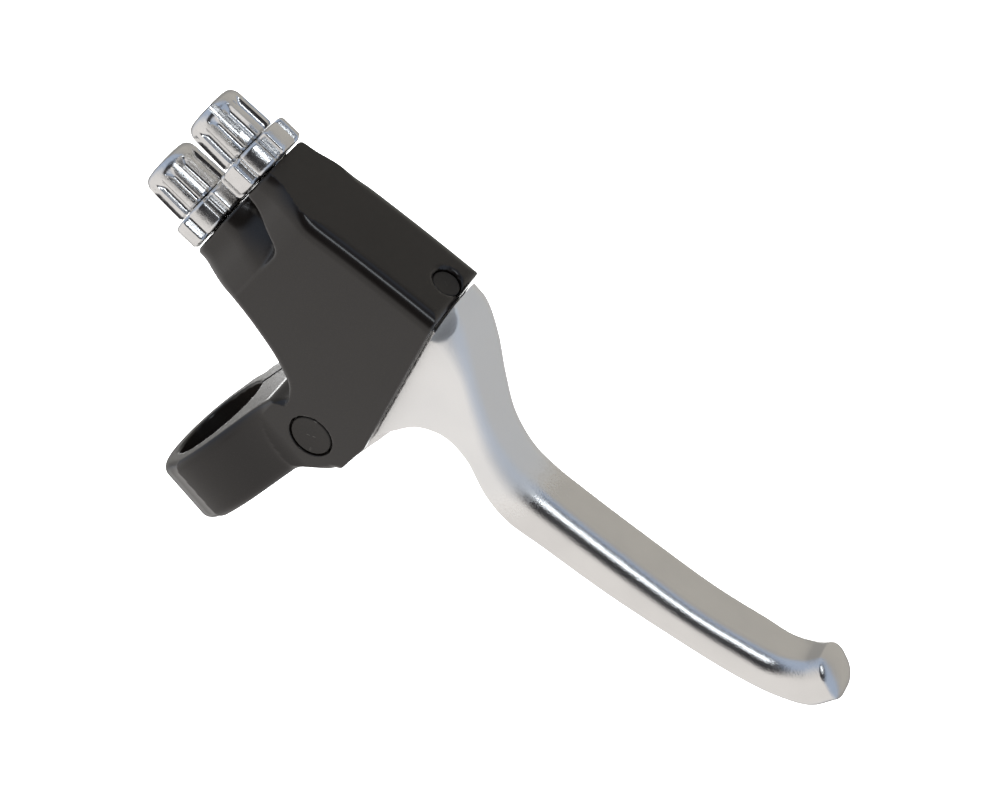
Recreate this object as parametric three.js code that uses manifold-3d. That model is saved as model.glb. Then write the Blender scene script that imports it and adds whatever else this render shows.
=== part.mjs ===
// A dual-cable clutch lever for a 22.2 mm handlebar: a cast body with its own bar clamp, two barrel
// adjusters, and a cast hand lever that pulls both cables through a small equaliser.
//
// Row frame: origin on the bar's axis at the middle of the clamp, X along the bar towards the bar's
// end, Y forward away from the rider, Z up. Plan frame (U, V): origin on the lever's pivot axis, U
// along the barrel adjusters towards the bar's end, V forward; it is the row frame turned by splay.
import * as THREE from "three";
import { mergeVertices } from "three/addons/utils/BufferGeometryUtils.js";
import { LoftGeometry } from "three/addons/geometries/LoftGeometry.js";
import Module from "manifold-3d";

const wasm = await Module();
wasm.setup();

const degree = Math.PI / 180;

// ---- driving dimensions, millimetres ----
// Fits and clearances
const castGap = 0.3; // between a casting and a piece seated in it
const runningGap = 0.08; // radial, round a pin, a bush or a thread
const sideGap = 0.4; // each side of a piece that turns in a slot

// Bar clamp
const barDiameter = 22.2;
const clampWall = 4.8;
const clampWidth = 15;
const clampEdge = 2; // rounding of the clamp's edges
const slitHeight = 1.2;
const slitLevel = -7.9; // height of the slit's middle at the bore
const slitStart = 8.2; // where the slit leaves the bore, ahead of the bar's axis
const slitFall = 15 * degree; // the slit runs forward and down
const lugDepth = 17.4; // from the bar's axis down to the lug's foot
const lugReach = 21.4; // from the bar's axis forward to the lug's nose
const neckReach = 25.5; // how far the neck runs into the housing
const lugCorner = 3;

// Clamp bolt, M5 with a socket head
const boltRadius = 2.5;
const boltForward = 15.8; // bolt's axis ahead of the bar's axis
const boltHeadRadius = 4.25;
const boltHeadHeight = 5;
const boltHexRadius = 2.3;
const boltHexDepth = 2.8;
const boltReach = 15.8; // under the head
const boltWasherHeight = 0.8;
const boltHeadSink = 0.2; // head below the lug's foot

// Housing
const housingHeight = 20.1;
const housingEdge = 2.6; // rounding of the plan edges
const splay = 9.12 * degree; // barrels turned from the bar
const pivotX = 2.84;
const pivotY = 29;
const lobeRadius = 8.8; // round the pivot
const mouthDistance = 10.5; // pivot to the plane of the mouth
const mouthTilt = 12.8 * degree;
const frontMargin = 11.59; // front face ahead of the front barrel, level with the pivot
const rearMargin = 4.17; // rear face behind the rear barrel, at the snout
const frontTilt = 7.74 * degree;
const frontCrown = 0.8; // bulge of the front face
const wallHeight = 3.4; // top and bottom walls over the pocket
const wallSide = 3.3; // front and rear walls of the pocket
const endFace = 41.1; // pivot to the face under the lock rings
const endWall = 13.9; // thread length in the bosses

// Barrel adjusters and lock rings
const rearBarrelV = 16.87;
const barrelSpacing = 18.57;
const barrelDrop = 1.27; // barrels below the bar's axis
const knobRadius = 6.23;
const knobLength = 9.9;
const knobDome = 3; // rounding of the outer end
const knobFlutes = 12;
const fluteDepth = 0.65;
const threadRadius = 4;
const socketRadius = 2.7; // seats a 5 mm outer casing
const socketDepth = 9;
const wireHoleRadius = 1.3;
const slotWidth = 1.7; // lengthwise slot in the knob
const slotLength = 7.6;
const rearSlotTurn = 218 * degree; // which way each slot faces, from V towards Z
const frontSlotTurn = 38 * degree;
const adjusterTravelGap = 0.3; // knob to ring, and ring to end face
const ringRadius = 8.49;
const ringLength = 5.5;
const ringLobes = 8;
const ringGrooveDepth = 0.9;
const ringChamfer = 0.7;

// Pivot
const pinRadius = 3;
const pinHeadRadius = 4.5;
const pinHeadHeight = 1.5;
const pinHeadSink = 0.15;
const headGroove = 0.5; // dark ring round the flush head
const clipRecessRadius = 5.2;
const clipRecessDepth = 2.6;
const pinWasherRadius = 4.8;
const pinWasherHeight = 0.6;
const clipRadius = 4.4;
const clipHeight = 0.7;
const bushWall = 1.1;
const thrustHeight = 0.5;
const thrustGap = 0.15;

// Lever
const mouthGap = 1.1; // lever's shoulder clear of the mouth
const tongueGap = 0.8; // tongue clear of the pocket's top and bottom
const hubRadius = 6.6;
const heelReach = 9.6; // tongue's heel beside the hub
const shoulderStep = 1.85; // lever at the mouth lower than the housing, top and bottom
const tongueFrontGap = 1.93; // tongue clear of the pocket's front wall

// Equaliser and trunnions
const equaliserU = -8;
const equaliserCheek = 1.4; // thickness of the tongue under the equaliser
const equaliserEnd = 4.6; // radius of its rounded ends
const equaliserWaist = 3.6; // half width at its pin
const equaliserPinRadius = 2;
const equaliserHeadRadius = 3.1; // pin's head and its clip
const equaliserHeadHeight = 1.2;
const equaliserClipHeight = 0.5;
const trunnionRadius = 2.9;
const trunnionWire = 1.05;

// Return spring
const springWire = 0.6; // radius of the wire
const springCoil = 6.1; // mean radius of the coil
const springTurns = 2;
const springPitch = 1.26;
const springRecess = 12.4; // room for the legs under the tongue
const springRest = 0.1; // coil above the tongue's foot
const springGap = 0.13; // coil clear of the roof of that room
const springLeg = 7.2; // each leg's reach from the pivot along U
const springHook = 2; // turned end of each leg

// Window in the underside, for hooking in the cable ends
const windowFrom = -23;
const windowTo = -15;
const windowPast = 1.6; // its ends ahead of the two barrels' axes

// Blanking plug in the front wall
const plugU = -3.06;
const plugRadius = 2.85;
const plugSink = 0.8;
const plugLength = 2;
const plugChamfer = 0.5;

// ---- sizes that follow ----
const boreRadius = barDiameter / 2;
const clampRadius = boreRadius + clampWall;
const halfHousing = housingHeight / 2;
const shoulderHalf = halfHousing - shoulderStep;
const pocketHalf = halfHousing - wallHeight;
const tongueHalf = pocketHalf - tongueGap;
const equaliserHeight = 2 * (tongueHalf - barrelDrop - equaliserCheek - sideGap);
const frontBarrelV = rearBarrelV + barrelSpacing;
const equaliserV = (rearBarrelV + frontBarrelV) / 2;
const frontAtPivot = frontBarrelV + frontMargin;
const rearFace = rearBarrelV - rearMargin;
const equaliserSweep = barrelSpacing / 2 + equaliserEnd;
const bushRadius = pinRadius + runningGap + bushWall;
const pocketEnd = -endFace + endWall;
const springLow = springWire + springRest - tongueHalf; // the lowest turn's middle
const springCeiling = springLow + springTurns * springPitch + springWire + springGap;
const mouthU = mouthDistance * Math.cos(mouthTilt); // foot of the pivot's perpendicular on the mouth
const mouthV = mouthDistance * Math.sin(mouthTilt);
const plugV = frontAtPivot + plugU * Math.tan(frontTilt) + 0.1;

const castBlack = { color: 0x2f2b28, roughness: 0.45, metalness: 0.25 };
const castBright = { color: 0xd4d2cf, roughness: 0.28, metalness: 1 };
const steel = { color: 0xa9abad, roughness: 0.35, metalness: 1 };
const blackSteel = { color: 0x262422, roughness: 0.4, metalness: 0.7 };
const brass = { color: 0xb9965a, roughness: 0.4, metalness: 1 };
const nylon = { color: 0xe6e2d6, roughness: 0.6, metalness: 0 };

// ---- helpers ----
// A closed geometry as a manifold-3d solid; triangles with two equal corners are dropped.
function solid(geometry) {
  const bare = new THREE.BufferGeometry();
  bare.setAttribute("position", geometry.getAttribute("position"));
  bare.setIndex(geometry.getIndex());
  const merged = mergeVertices(bare, 1e-4);
  const index = merged.index.array;
  const kept = [];
  for (let i = 0; i < index.length; i += 3) {
    const [a, b, c] = index.slice(i, i + 3);
    if (a !== b && b !== c && c !== a) kept.push(a, b, c);
  }
  const vertProperties = merged.attributes.position.array;
  return new wasm.Manifold(
    new wasm.Mesh({ numProp: 3, vertProperties, triVerts: new Uint32Array(kept) }),
  );
}

// A solid's triangles as a three.js geometry.
function geometryOf(body) {
  const mesh = body.getMesh();
  const geometry = new THREE.BufferGeometry();
  geometry.setAttribute("position", new THREE.BufferAttribute(mesh.vertProperties, 3));
  geometry.setIndex(new THREE.BufferAttribute(mesh.triVerts, 1));
  geometry.computeVertexNormals();
  return geometry;
}

// A solid moved by a matrix.
function moved(body, matrix) {
  const mesh = body.getMesh();
  const positions = new THREE.BufferAttribute(mesh.vertProperties, 3).applyMatrix4(matrix);
  const { triVerts } = mesh;
  return new wasm.Manifold(
    new wasm.Mesh({ numProp: 3, vertProperties: positions.array, triVerts }),
  );
}

function shifted(body, x, y, z) {
  return moved(body, new THREE.Matrix4().makeTranslation(x, y, z));
}

// A round bar about the Z axis, from one height to another.
function barZ(radius, from, to, sides = 24, topRadius = radius) {
  return new THREE.CylinderGeometry(topRadius, radius, to - from, sides)
    .rotateX(90 * degree)
    .translate(0, 0, (from + to) / 2);
}

// The same about the U axis, through (v, z).
function barU(radius, from, to, v, z, sides = 24) {
  return new THREE.CylinderGeometry(radius, radius, to - from, sides)
    .rotateZ(-90 * degree)
    .translate((from + to) / 2, v, z);
}

function block(x0, x1, y0, y1, z0, z1) {
  return new THREE.BoxGeometry(x1 - x0, y1 - y0, z1 - z0).translate(
    (x0 + x1) / 2,
    (y0 + y1) / 2,
    (z0 + z1) / 2,
  );
}

// A flat outline given a height, with its top and bottom edges rounded inside the outline.
function plate(shape, from, to, edge = 0, segments = 2) {
  return new THREE.ExtrudeGeometry(shape, {
    depth: to - from - 2 * edge,
    bevelEnabled: edge > 0,
    bevelThickness: edge,
    bevelSize: edge,
    bevelOffset: -edge,
    bevelSegments: segments,
    curveSegments: 8,
  }).translate(0, 0, from + edge);
}

// Maps an outline drawn in (Y, Z) and extruded along its own Z onto the row's X.
const alongX = new THREE.Matrix4().makeBasis(
  new THREE.Vector3(0, 1, 0),
  new THREE.Vector3(0, 0, 1),
  new THREE.Vector3(1, 0, 0),
);
const planToRow = new THREE.Matrix4().makeRotationZ(splay).setPosition(pivotX, pivotY, 0);
const rowToPlan = planToRow.clone().invert();

// A row point in the plan frame.
function planPoint(x, y) {
  const p = new THREE.Vector3(x, y, 0).applyMatrix4(rowToPlan);
  return [p.x, p.y];
}

// Front face's V at a given U.
function frontV(u) {
  return frontAtPivot - frontCrown / 2 + u * Math.tan(frontTilt);
}

function polygon(points) {
  return new THREE.Shape(points.map(([x, y]) => new THREE.Vector2(x, y)));
}

function smoothPoints(points, count) {
  const curve = new THREE.CatmullRomCurve3(
    points.map((p) => new THREE.Vector3(...p)),
    false,
    "centripetal",
  );
  return curve.getPoints(count);
}

function named(name, body, finish) {
  const geometry = body.isBufferGeometry ? body : geometryOf(body);
  const mesh = new THREE.Mesh(geometry, new THREE.MeshStandardMaterial(finish));
  mesh.name = name;
  return mesh;
}

// ---- body casting ----
// Side view of the clamp in (Y, Z): round the bar, with a lug under it, a fillet down to the
// housing's top, and the neck that runs into the housing.
function clampOutline() {
  const fillet = 58 * degree;
  const foot = 255 * degree;
  const joint = [clampRadius * Math.cos(fillet), clampRadius * Math.sin(fillet)];
  const run = ((joint[1] - halfHousing) * Math.sin(fillet)) / Math.cos(fillet);
  const footZ = clampRadius * Math.sin(foot);
  const footY = clampRadius * Math.cos(foot);
  const footRun = ((lugDepth + footZ) * Math.sin(foot)) / Math.cos(foot);
  const shape = new THREE.Shape();
  shape.moveTo(neckReach, halfHousing);
  shape.lineTo(joint[0] + 2 * run, halfHousing);
  shape.quadraticCurveTo(joint[0] + run, halfHousing, joint[0], joint[1]);
  for (let step = 0; step < 4; step += 1) {
    const from = fillet + ((foot - fillet) * step) / 4;
    shape.absarc(0, 0, clampRadius, from, from + (foot - fillet) / 4, false);
  }
  shape.quadraticCurveTo(footY + footRun, -lugDepth, footY + 1.8 * footRun, -lugDepth);
  shape.lineTo(lugReach - lugCorner, -lugDepth);
  shape.quadraticCurveTo(lugReach, -lugDepth, lugReach, lugCorner - lugDepth);
  shape.lineTo(lugReach, -halfHousing);
  shape.lineTo(neckReach, -halfHousing);
  shape.closePath();
  return shape;
}

function clampSolid() {
  const half = clampWidth / 2;
  return solid(plate(clampOutline(), -half, half, clampEdge).applyMatrix4(alongX));
}

// Cuts made in the row frame: the bar's bore, the slit and the bolt's hole.
function clampCuts() {
  const past = clampWidth;
  const bore = solid(barZ(boreRadius, -past, past, 40).applyMatrix4(alongX));
  const half = clampWidth / 2 + 1;
  const slitEnd = lugReach - slitStart + 2;
  const slit = solid(
    block(-half, half, -slitStart / 2, slitEnd, -slitHeight / 2, slitHeight / 2)
      .rotateX(-slitFall)
      .translate(0, slitStart, slitLevel),
  );
  const holeRadius = boltRadius + runningGap;
  const seat = -lugDepth + boltHeadSink + boltHeadHeight + boltWasherHeight;
  const hole = solid(barZ(holeRadius, seat - 1, seat + boltReach + 1).translate(0, boltForward, 0));
  const counterbore = solid(
    barZ(boltHeadRadius + runningGap, -lugDepth - 1, seat).translate(0, boltForward, 0),
  );
  return bore.add(slit).add(hole).add(counterbore);
}

// Plan outline of the housing in (U, V), filleted into the neck on its inboard side.
function housingOutline() {
  const half = clampWidth / 2;
  const past = mouthDistance + 6;
  const shape = new THREE.Shape();
  shape.moveTo(past, frontV(past));
  shape.quadraticCurveTo((past - 32) / 2, frontV((past - 32) / 2) + 2 * frontCrown, -32, frontV(-32));
  shape.lineTo(-32, rearFace);
  shape.quadraticCurveTo(-26, 11.6, -21, 10.2);
  shape.quadraticCurveTo(-15, 8.2, -12.6, 6.6);
  shape.quadraticCurveTo(-11.2, 5.6, ...planPoint(-half, pivotY + 3.4));
  shape.lineTo(...planPoint(-half, pivotY - 2));
  shape.absarc(0, 0, lobeRadius, 200 * degree, 362 * degree, false);
  shape.quadraticCurveTo(lobeRadius + 0.5, 4, mouthDistance - 1.6, 8.2);
  shape.lineTo(past, 16);
  shape.closePath();
  return shape;
}

// One section of the snout that carries the adjusters: a rounded rectangle across U.
function snoutSection([u, vRear, vFront, zLow, zHigh, corner]) {
  const shape = new THREE.Shape();
  shape.absarc(vFront - corner, zLow + corner, corner, -90 * degree, 0, false);
  shape.absarc(vFront - corner, zHigh - corner, corner, 0, 90 * degree, false);
  shape.absarc(vRear + corner, zHigh - corner, corner, 90 * degree, 180 * degree, false);
  shape.absarc(vRear + corner, zLow + corner, corner, 180 * degree, 270 * degree, false);
  return shape.getPoints(6).map((p) => new THREE.Vector3(u, p.x, p.y));
}

function snoutSolid() {
  const boss = (u, radius) => [
    u,
    rearBarrelV - radius,
    frontBarrelV + radius,
    -barrelDrop - radius,
    -barrelDrop + radius,
    radius - 0.01,
  ];
  const sections = [
    boss(-endFace, 6.5),
    boss(-endFace + 0.9, 7.4),
    boss(-endFace + 3, 7.9),
    [-33.5, rearFace - 2.1, frontV(-33.5) + 0.9, 0.15 - halfHousing, halfHousing - 1.15, 5.6],
    [-29.5, rearFace - 0.4, frontV(-29.5) + 0.1, -halfHousing, halfHousing - 0.2, 4],
    [-26, rearFace - 0.4, frontV(-26), -halfHousing, halfHousing, 3],
  ].map(snoutSection);
  return solid(new LoftGeometry(sections, { capStart: true, capEnd: true }));
}

// The pocket for the lever's tongue, the equaliser and the cables, open at the mouth.
function pocketSolid() {
  const past = mouthDistance + 8;
  const outline = polygon([
    [pocketEnd, rearFace + wallSide - 0.2],
    [-21, 10.2 + wallSide],
    [-13.2, 7.6 + wallSide],
    [-9.6, 8.4],
    [-7.5, 1.6],
    [-7.2, -2.4],
    [-4.2, -6.4],
    [0, -7.6],
    [past, -7.6],
    [past, frontV(past) - wallSide],
    [pocketEnd, frontV(pocketEnd) - wallSide],
  ]);
  const round = barZ(hubRadius + 1, -pocketHalf, pocketHalf, 32);
  return solid(plate(outline, -pocketHalf, pocketHalf)).add(solid(round));
}

// The hollow between the two bosses, a round-ended scoop that runs out at the end face.
function scoopSolid(side) {
  const from = new THREE.Vector3(-endFace - 4, equaliserV - 1.55, side * (halfHousing + 1.2) - barrelDrop);
  const to = new THREE.Vector3(-31.2, equaliserV + 3.45, side * (halfHousing + 0.8));
  const length = from.distanceTo(to);
  const heading = Math.atan2(to.y - from.y, to.x - from.x);
  const place = (geometry) =>
    geometry.rotateZ(heading).translate(to.x, to.y, side * (halfHousing + 0.9));
  const trough = new THREE.CylinderGeometry(4, 5.8, length, 20)
    .rotateZ(-90 * degree)
    .translate(-length / 2, 0, 0);
  const end = new THREE.SphereGeometry(4, 20, 10);
  return solid(place(trough)).add(solid(place(end)));
}

function mouthCut() {
  const reach = 60;
  const away = block(mouthDistance, mouthDistance + reach, 5, reach, -reach, reach);
  return solid(away.rotateZ(mouthTilt));
}

// Holes through the top and bottom walls for the pivot pin, its flush head and its clip.
function pivotCuts() {
  const shaft = solid(barZ(pinRadius + runningGap, -halfHousing - 1, halfHousing + 1));
  const headFloor = halfHousing - pinHeadSink - pinHeadHeight - castGap;
  const head = solid(barZ(pinHeadRadius + headGroove, headFloor, halfHousing + 1, 32));
  const recess = solid(barZ(clipRecessRadius, -halfHousing - 1, clipRecessDepth - halfHousing, 32));
  return shaft.add(head).add(recess);
}

function adjusterHole(v) {
  return solid(barU(threadRadius + runningGap, -endFace - 1, pocketEnd + 1, v, -barrelDrop));
}

// The plug's hole through the front wall, with its chamfered mouth.
function plugHole() {
  const radius = plugRadius + runningGap;
  const hole = barZ(radius, -wallSide - 2, 1, 32);
  const mouth = barZ(radius, -plugChamfer, plugChamfer, 32, radius + 2 * plugChamfer);
  return solid(atPlug(hole)).add(solid(atPlug(mouth)));
}

// Places a geometry made about Z so that it stands on the front face, Z outwards, at the plug.
function atPlug(geometry) {
  return geometry
    .rotateX(-90 * degree)
    .rotateZ(frontTilt)
    .translate(plugU, plugV, -barrelDrop);
}

// A round-cornered window through the bottom wall.
function windowSolid() {
  const corner = 3;
  const windowRear = rearBarrelV + windowPast;
  const windowFront = frontBarrelV + windowPast;
  const shape = new THREE.Shape();
  shape.absarc(windowTo - corner, windowRear + corner, corner, -90 * degree, 0, false);
  shape.absarc(windowTo - corner, windowFront - corner, corner, 0, 90 * degree, false);
  shape.absarc(windowFrom + corner, windowFront - corner, corner, 90 * degree, 180 * degree, false);
  shape.absarc(windowFrom + corner, windowRear + corner, corner, 180 * degree, 270 * degree, false);
  return solid(plate(shape, -halfHousing - 1, 1 - pocketHalf));
}

// The blind hole in the pocket's floor that holds the spring's lower leg.
function springHole() {
  const hole = barZ(springWire + castGap, -pocketHalf - springHook, 1 - pocketHalf, 16);
  return solid(hole.translate(-springLeg, springCoil, 0));
}

function bodyCasting() {
  const toPlan = (body) => moved(body, rowToPlan);
  const housing = plate(housingOutline(), -halfHousing, halfHousing, housingEdge);
  return solid(housing)
    .subtract(mouthCut())
    .add(snoutSolid())
    .add(toPlan(clampSolid()))
    .subtract(toPlan(clampCuts()))
    .subtract(pocketSolid())
    .subtract(pivotCuts())
    .subtract(adjusterHole(rearBarrelV))
    .subtract(adjusterHole(frontBarrelV))
    .subtract(scoopSolid(1))
    .subtract(scoopSolid(-1))
    .subtract(windowSolid())
    .subtract(springHole())
    .subtract(plugHole());
}

// ---- fasteners of the clamp, in the row frame ----
function clampBolt() {
  const foot = -lugDepth + boltHeadSink;
  const under = foot + boltHeadHeight;
  const head = solid(barZ(boltHeadRadius, foot, under));
  const shank = solid(barZ(boltRadius, under - 1, under + boltReach, 24));
  const socket = solid(barZ(boltHexRadius, foot - 1, foot + boltHexDepth, 6));
  return geometryOf(head.add(shank).subtract(socket)).translate(0, boltForward, 0);
}

// A flat ring about Z.
function washer(inner, outer, from, to, sides = 24) {
  return solid(barZ(outer, from, to, sides)).subtract(solid(barZ(inner, from - 1, to + 1, sides)));
}

function clampWasher() {
  const under = -lugDepth + boltHeadSink + boltHeadHeight;
  const play = 0.1;
  const ring = washer(boltRadius + runningGap, boltHeadRadius, under + play, under + boltWasherHeight - play);
  return geometryOf(ring).translate(0, boltForward, 0);
}

// ---- pivot ----
const clipTop = -halfHousing + clipRecessDepth - castGap - pinWasherHeight - 0.1;

function pivotPin() {
  const top = halfHousing - pinHeadSink;
  const tail = -halfHousing + 0.3;
  const groove = washer(pinRadius - 0.7, pinRadius + 1, clipTop - clipHeight - 0.1, clipTop + 0.1);
  const shaft = solid(barZ(pinRadius, tail, top - 0.5));
  return shaft.add(solid(barZ(pinHeadRadius, top - pinHeadHeight, top, 40))).subtract(groove);
}

function pivotWasher() {
  const top = -halfHousing + clipRecessDepth - castGap / 2;
  return washer(pinRadius + runningGap, pinWasherRadius, top - pinWasherHeight, top);
}

// An open retaining clip that snaps into the pin's groove from the side.
function pivotClip() {
  const ring = washer(pinRadius - 0.5, clipRadius, clipTop - clipHeight, clipTop, 32);
  const mouth = solid(block(-1.9, 1.9, -clipRadius - 1, 0, clipTop - 2, clipTop + 1));
  return ring.subtract(mouth);
}

function pivotBush() {
  return washer(pinRadius + runningGap, bushRadius, -tongueHalf, tongueHalf, 32);
}

function thrustWasher(side) {
  const middle = side * (tongueHalf + thrustGap + thrustHeight / 2);
  const half = thrustHeight / 2;
  return washer(pinRadius + runningGap, hubRadius - 0.4, middle - half, middle + half);
}

// ---- lever ----
// The lever outside the mouth: rear and front edge points in (U, V) from the foot of the pivot's
// perpendicular on the mouth, half height and edge radius. The first two meet the front face.
const leverStations = [
  [-0.84, 8.67, -8.79, shoulderV(-8.79, 0.83), shoulderHalf, 2.2],
  [0.26, 13.27, -5.64, shoulderV(-5.64, 1.55), shoulderHalf, 2.6],
  [2.66, 17.97, 0.66, 39.27, 7.9, 3],
  [7.36, 20.37, 7.76, 33.17, 7.3, 3],
  [13.56, 19.47, 14.96, 27.87, 6.8, 3.2],
  [21.66, 15.67, 22.36, 25.07, 6.75, 3.6],
  [28.16, 14.47, 27.96, 24.97, 6.75, 3.8],
  [37.26, 16.17, 35.76, 25.97, 6.75, 3.8],
  [51.76, 19.07, 49.16, 28.17, 6.75, 3.8],
  [69.36, 23.67, 66.56, 31.57, 6.6, 3.7],
  [80.26, 26.97, 76.96, 34.87, 6.5, 3.7],
  [88.76, 30.07, 82.76, 37.07, 6.2, 4],
  [94.96, 34.37, 86.16, 40.47, 5.9, 4.6],
  [96.96, 39.27, 87.56, 43.47, 5.3, 4.4],
];
const tipCap = 4; // sections that close the rounded tip
const tipRise = 2.3; // how far the tip's end stands proud of the last station

// V of a point that lies a given distance behind the front face, in the stations' own frame.
function shoulderV(u, behind) {
  return frontV(mouthU + u) - behind - mouthV;
}

// A rounded rectangle between a rear point and a front point, standing across the lever.
function leverSection(rear, front, half, corner) {
  const middle = rear.clone().add(front).multiplyScalar(0.5);
  const across = front.clone().sub(rear);
  const width = across.length() / 2;
  across.normalize();
  const round = Math.min(corner, width * 0.97, half * 0.97);
  const points = [];
  for (let quarter = 0; quarter < 4; quarter += 1) {
    const sideA = quarter === 0 || quarter === 3 ? 1 : -1;
    const sideZ = quarter < 2 ? 1 : -1;
    for (let step = 0; step <= 3; step += 1) {
      const angle = (quarter + step / 3) * 90 * degree;
      const a = sideA * (width - round) + round * Math.cos(angle);
      const z = sideZ * (half - round) + round * Math.sin(angle);
      points.push(middle.clone().addScaledVector(across, a).setZ(z));
    }
  }
  return points;
}

function leverBlade() {
  const rows = 26;
  const rear = smoothPoints(leverStations.map(([u, v]) => [mouthU + u, mouthV + v, 0]), rows);
  const front = smoothPoints(leverStations.map(([, , u, v]) => [mouthU + u, mouthV + v, 0]), rows);
  const girth = smoothPoints(leverStations.map(([, , , , half, corner], i) => [half, corner, i]), rows);
  const sections = rear.map((point, i) => leverSection(point, front[i], girth[i].x, girth[i].y));
  const lastRear = rear[rows];
  const lastFront = front[rows];
  const ahead = new THREE.Vector3(lastRear.y - lastFront.y, lastFront.x - lastRear.x, 0).normalize();
  if (ahead.y < 0) ahead.negate();
  const middle = lastRear.clone().add(lastFront).multiplyScalar(0.5);
  for (let step = 1; step <= tipCap; step += 1) {
    const angle = (step / (tipCap + 0.5)) * 90 * degree;
    const shrink = Math.cos(angle);
    const centre = middle.clone().addScaledVector(ahead, tipRise * Math.sin(angle));
    const arm = lastFront.clone().sub(middle).multiplyScalar(shrink);
    const half = girth[rows].x * shrink;
    const corner = girth[rows].y * shrink;
    sections.push(leverSection(centre.clone().sub(arm), centre.clone().add(arm), half, corner));
  }
  return solid(new LoftGeometry(sections, { capStart: true, capEnd: true }));
}

// The lever's tongue inside the housing: the hub, a web and the two cheeks over the equaliser.
function leverTongue() {
  const shoulder = mouthDistance + mouthGap;
  const front = frontV(0) - wallSide - tongueFrontGap;
  const edge = (along) => [
    (shoulder + 2) * Math.cos(mouthTilt) - along * Math.sin(mouthTilt),
    (shoulder + 2) * Math.sin(mouthTilt) + along * Math.cos(mouthTilt),
  ];
  const shape = new THREE.Shape();
  shape.absarc(0, 0, hubRadius, 120 * degree, 290 * degree, false);
  shape.lineTo(heelReach - 1.6, -2.6);
  shape.quadraticCurveTo(heelReach, -1.4, heelReach, 0.6);
  shape.lineTo(heelReach + 0.5, 7);
  shape.lineTo(...edge(12));
  shape.lineTo(...edge(front - 2.4));
  shape.lineTo(0, front);
  shape.lineTo(-4.6, front - 1.4);
  shape.lineTo(equaliserU - 5.6, equaliserV + 3.4);
  shape.absarc(equaliserU, equaliserV, 6, 150 * degree, 214 * degree, false);
  shape.closePath();
  return solid(plate(shape, -tongueHalf, tongueHalf));
}

function leverCuts() {
  const pivotHole = solid(barZ(bushRadius + castGap, -tongueHalf - 1, tongueHalf + 1));
  const half = equaliserHeight / 2 + sideGap;
  const slot = solid(barZ(equaliserSweep + sideGap, -barrelDrop - half, -barrelDrop + half, 32));
  const pin = solid(barZ(equaliserPinRadius + runningGap, -tongueHalf - 1, tongueHalf + 1, 24));
  const overPin = (body) => shifted(body, equaliserU, equaliserV, 0);
  const sink = equaliserHeadRadius + castGap;
  const head = solid(barZ(sink, tongueHalf - equaliserHeadHeight - castGap, tongueHalf + 1, 24));
  const clip = solid(barZ(sink, -tongueHalf - 1, -tongueHalf + equaliserClipHeight + castGap, 24));
  const legHole = solid(barZ(springWire + castGap, springCeiling - 1, springCeiling + 2.6, 16));
  return pivotHole
    .add(overPin(slot))
    .add(overPin(pin))
    .add(overPin(head))
    .add(overPin(clip))
    .add(shifted(legHole, springLeg, springCoil, 0));
}

function lever() {
  const room = solid(barZ(springRecess, -tongueHalf - 1, springCeiling, 32));
  const hub = solid(barZ(springCoil - springWire - castGap, -tongueHalf, springCeiling + 1));
  return leverTongue()
    .subtract(room)
    .add(hub)
    .add(leverBlade())
    .subtract(leverCuts());
}

// A torsion spring round the hub: its lower leg is hooked into the pocket's floor, and its upper leg
// turns up into the tongue.
function returnSpring() {
  const low = springLow;
  const high = low + springTurns * springPitch;
  const bend = 1.2;
  const points = [
    new THREE.Vector3(-springLeg, springCoil, 0.3 - pocketHalf - springHook),
    new THREE.Vector3(-springLeg, springCoil, low - bend),
    new THREE.Vector3(-springLeg + 0.35 * bend, springCoil, low - 0.35 * bend),
    new THREE.Vector3(-springLeg + bend, springCoil, low),
    new THREE.Vector3(-springLeg / 2, springCoil, low),
  ];
  const steps = springTurns * 14;
  for (let i = 0; i <= steps; i += 1) {
    const turn = i / 14;
    const angle = (0.25 - turn) * 360 * degree;
    const z = low + turn * springPitch;
    points.push(new THREE.Vector3(springCoil * Math.cos(angle), springCoil * Math.sin(angle), z));
  }
  points.push(
    new THREE.Vector3(springLeg / 2, springCoil, high),
    new THREE.Vector3(springLeg - bend, springCoil, high),
    new THREE.Vector3(springLeg - 0.35 * bend, springCoil, high + 0.35 * bend),
    new THREE.Vector3(springLeg, springCoil, high + bend),
    new THREE.Vector3(springLeg, springCoil, high + bend + 1),
  );
  const wire = new THREE.Shape().absarc(0, 0, springWire, 0, 360 * degree, false);
  const path = new THREE.CatmullRomCurve3(points, false, "centripetal");
  return solid(
    new THREE.ExtrudeGeometry(wire, {
      steps: 72,
      curveSegments: 3,
      bevelEnabled: false,
      extrudePath: path,
    }),
  );
}

// ---- equaliser: a rocker on the tongue's pin, with a swivelling trunnion in each end ----
function atEqualiser(body) {
  return shifted(body, equaliserU, equaliserV, -barrelDrop);
}

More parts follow.
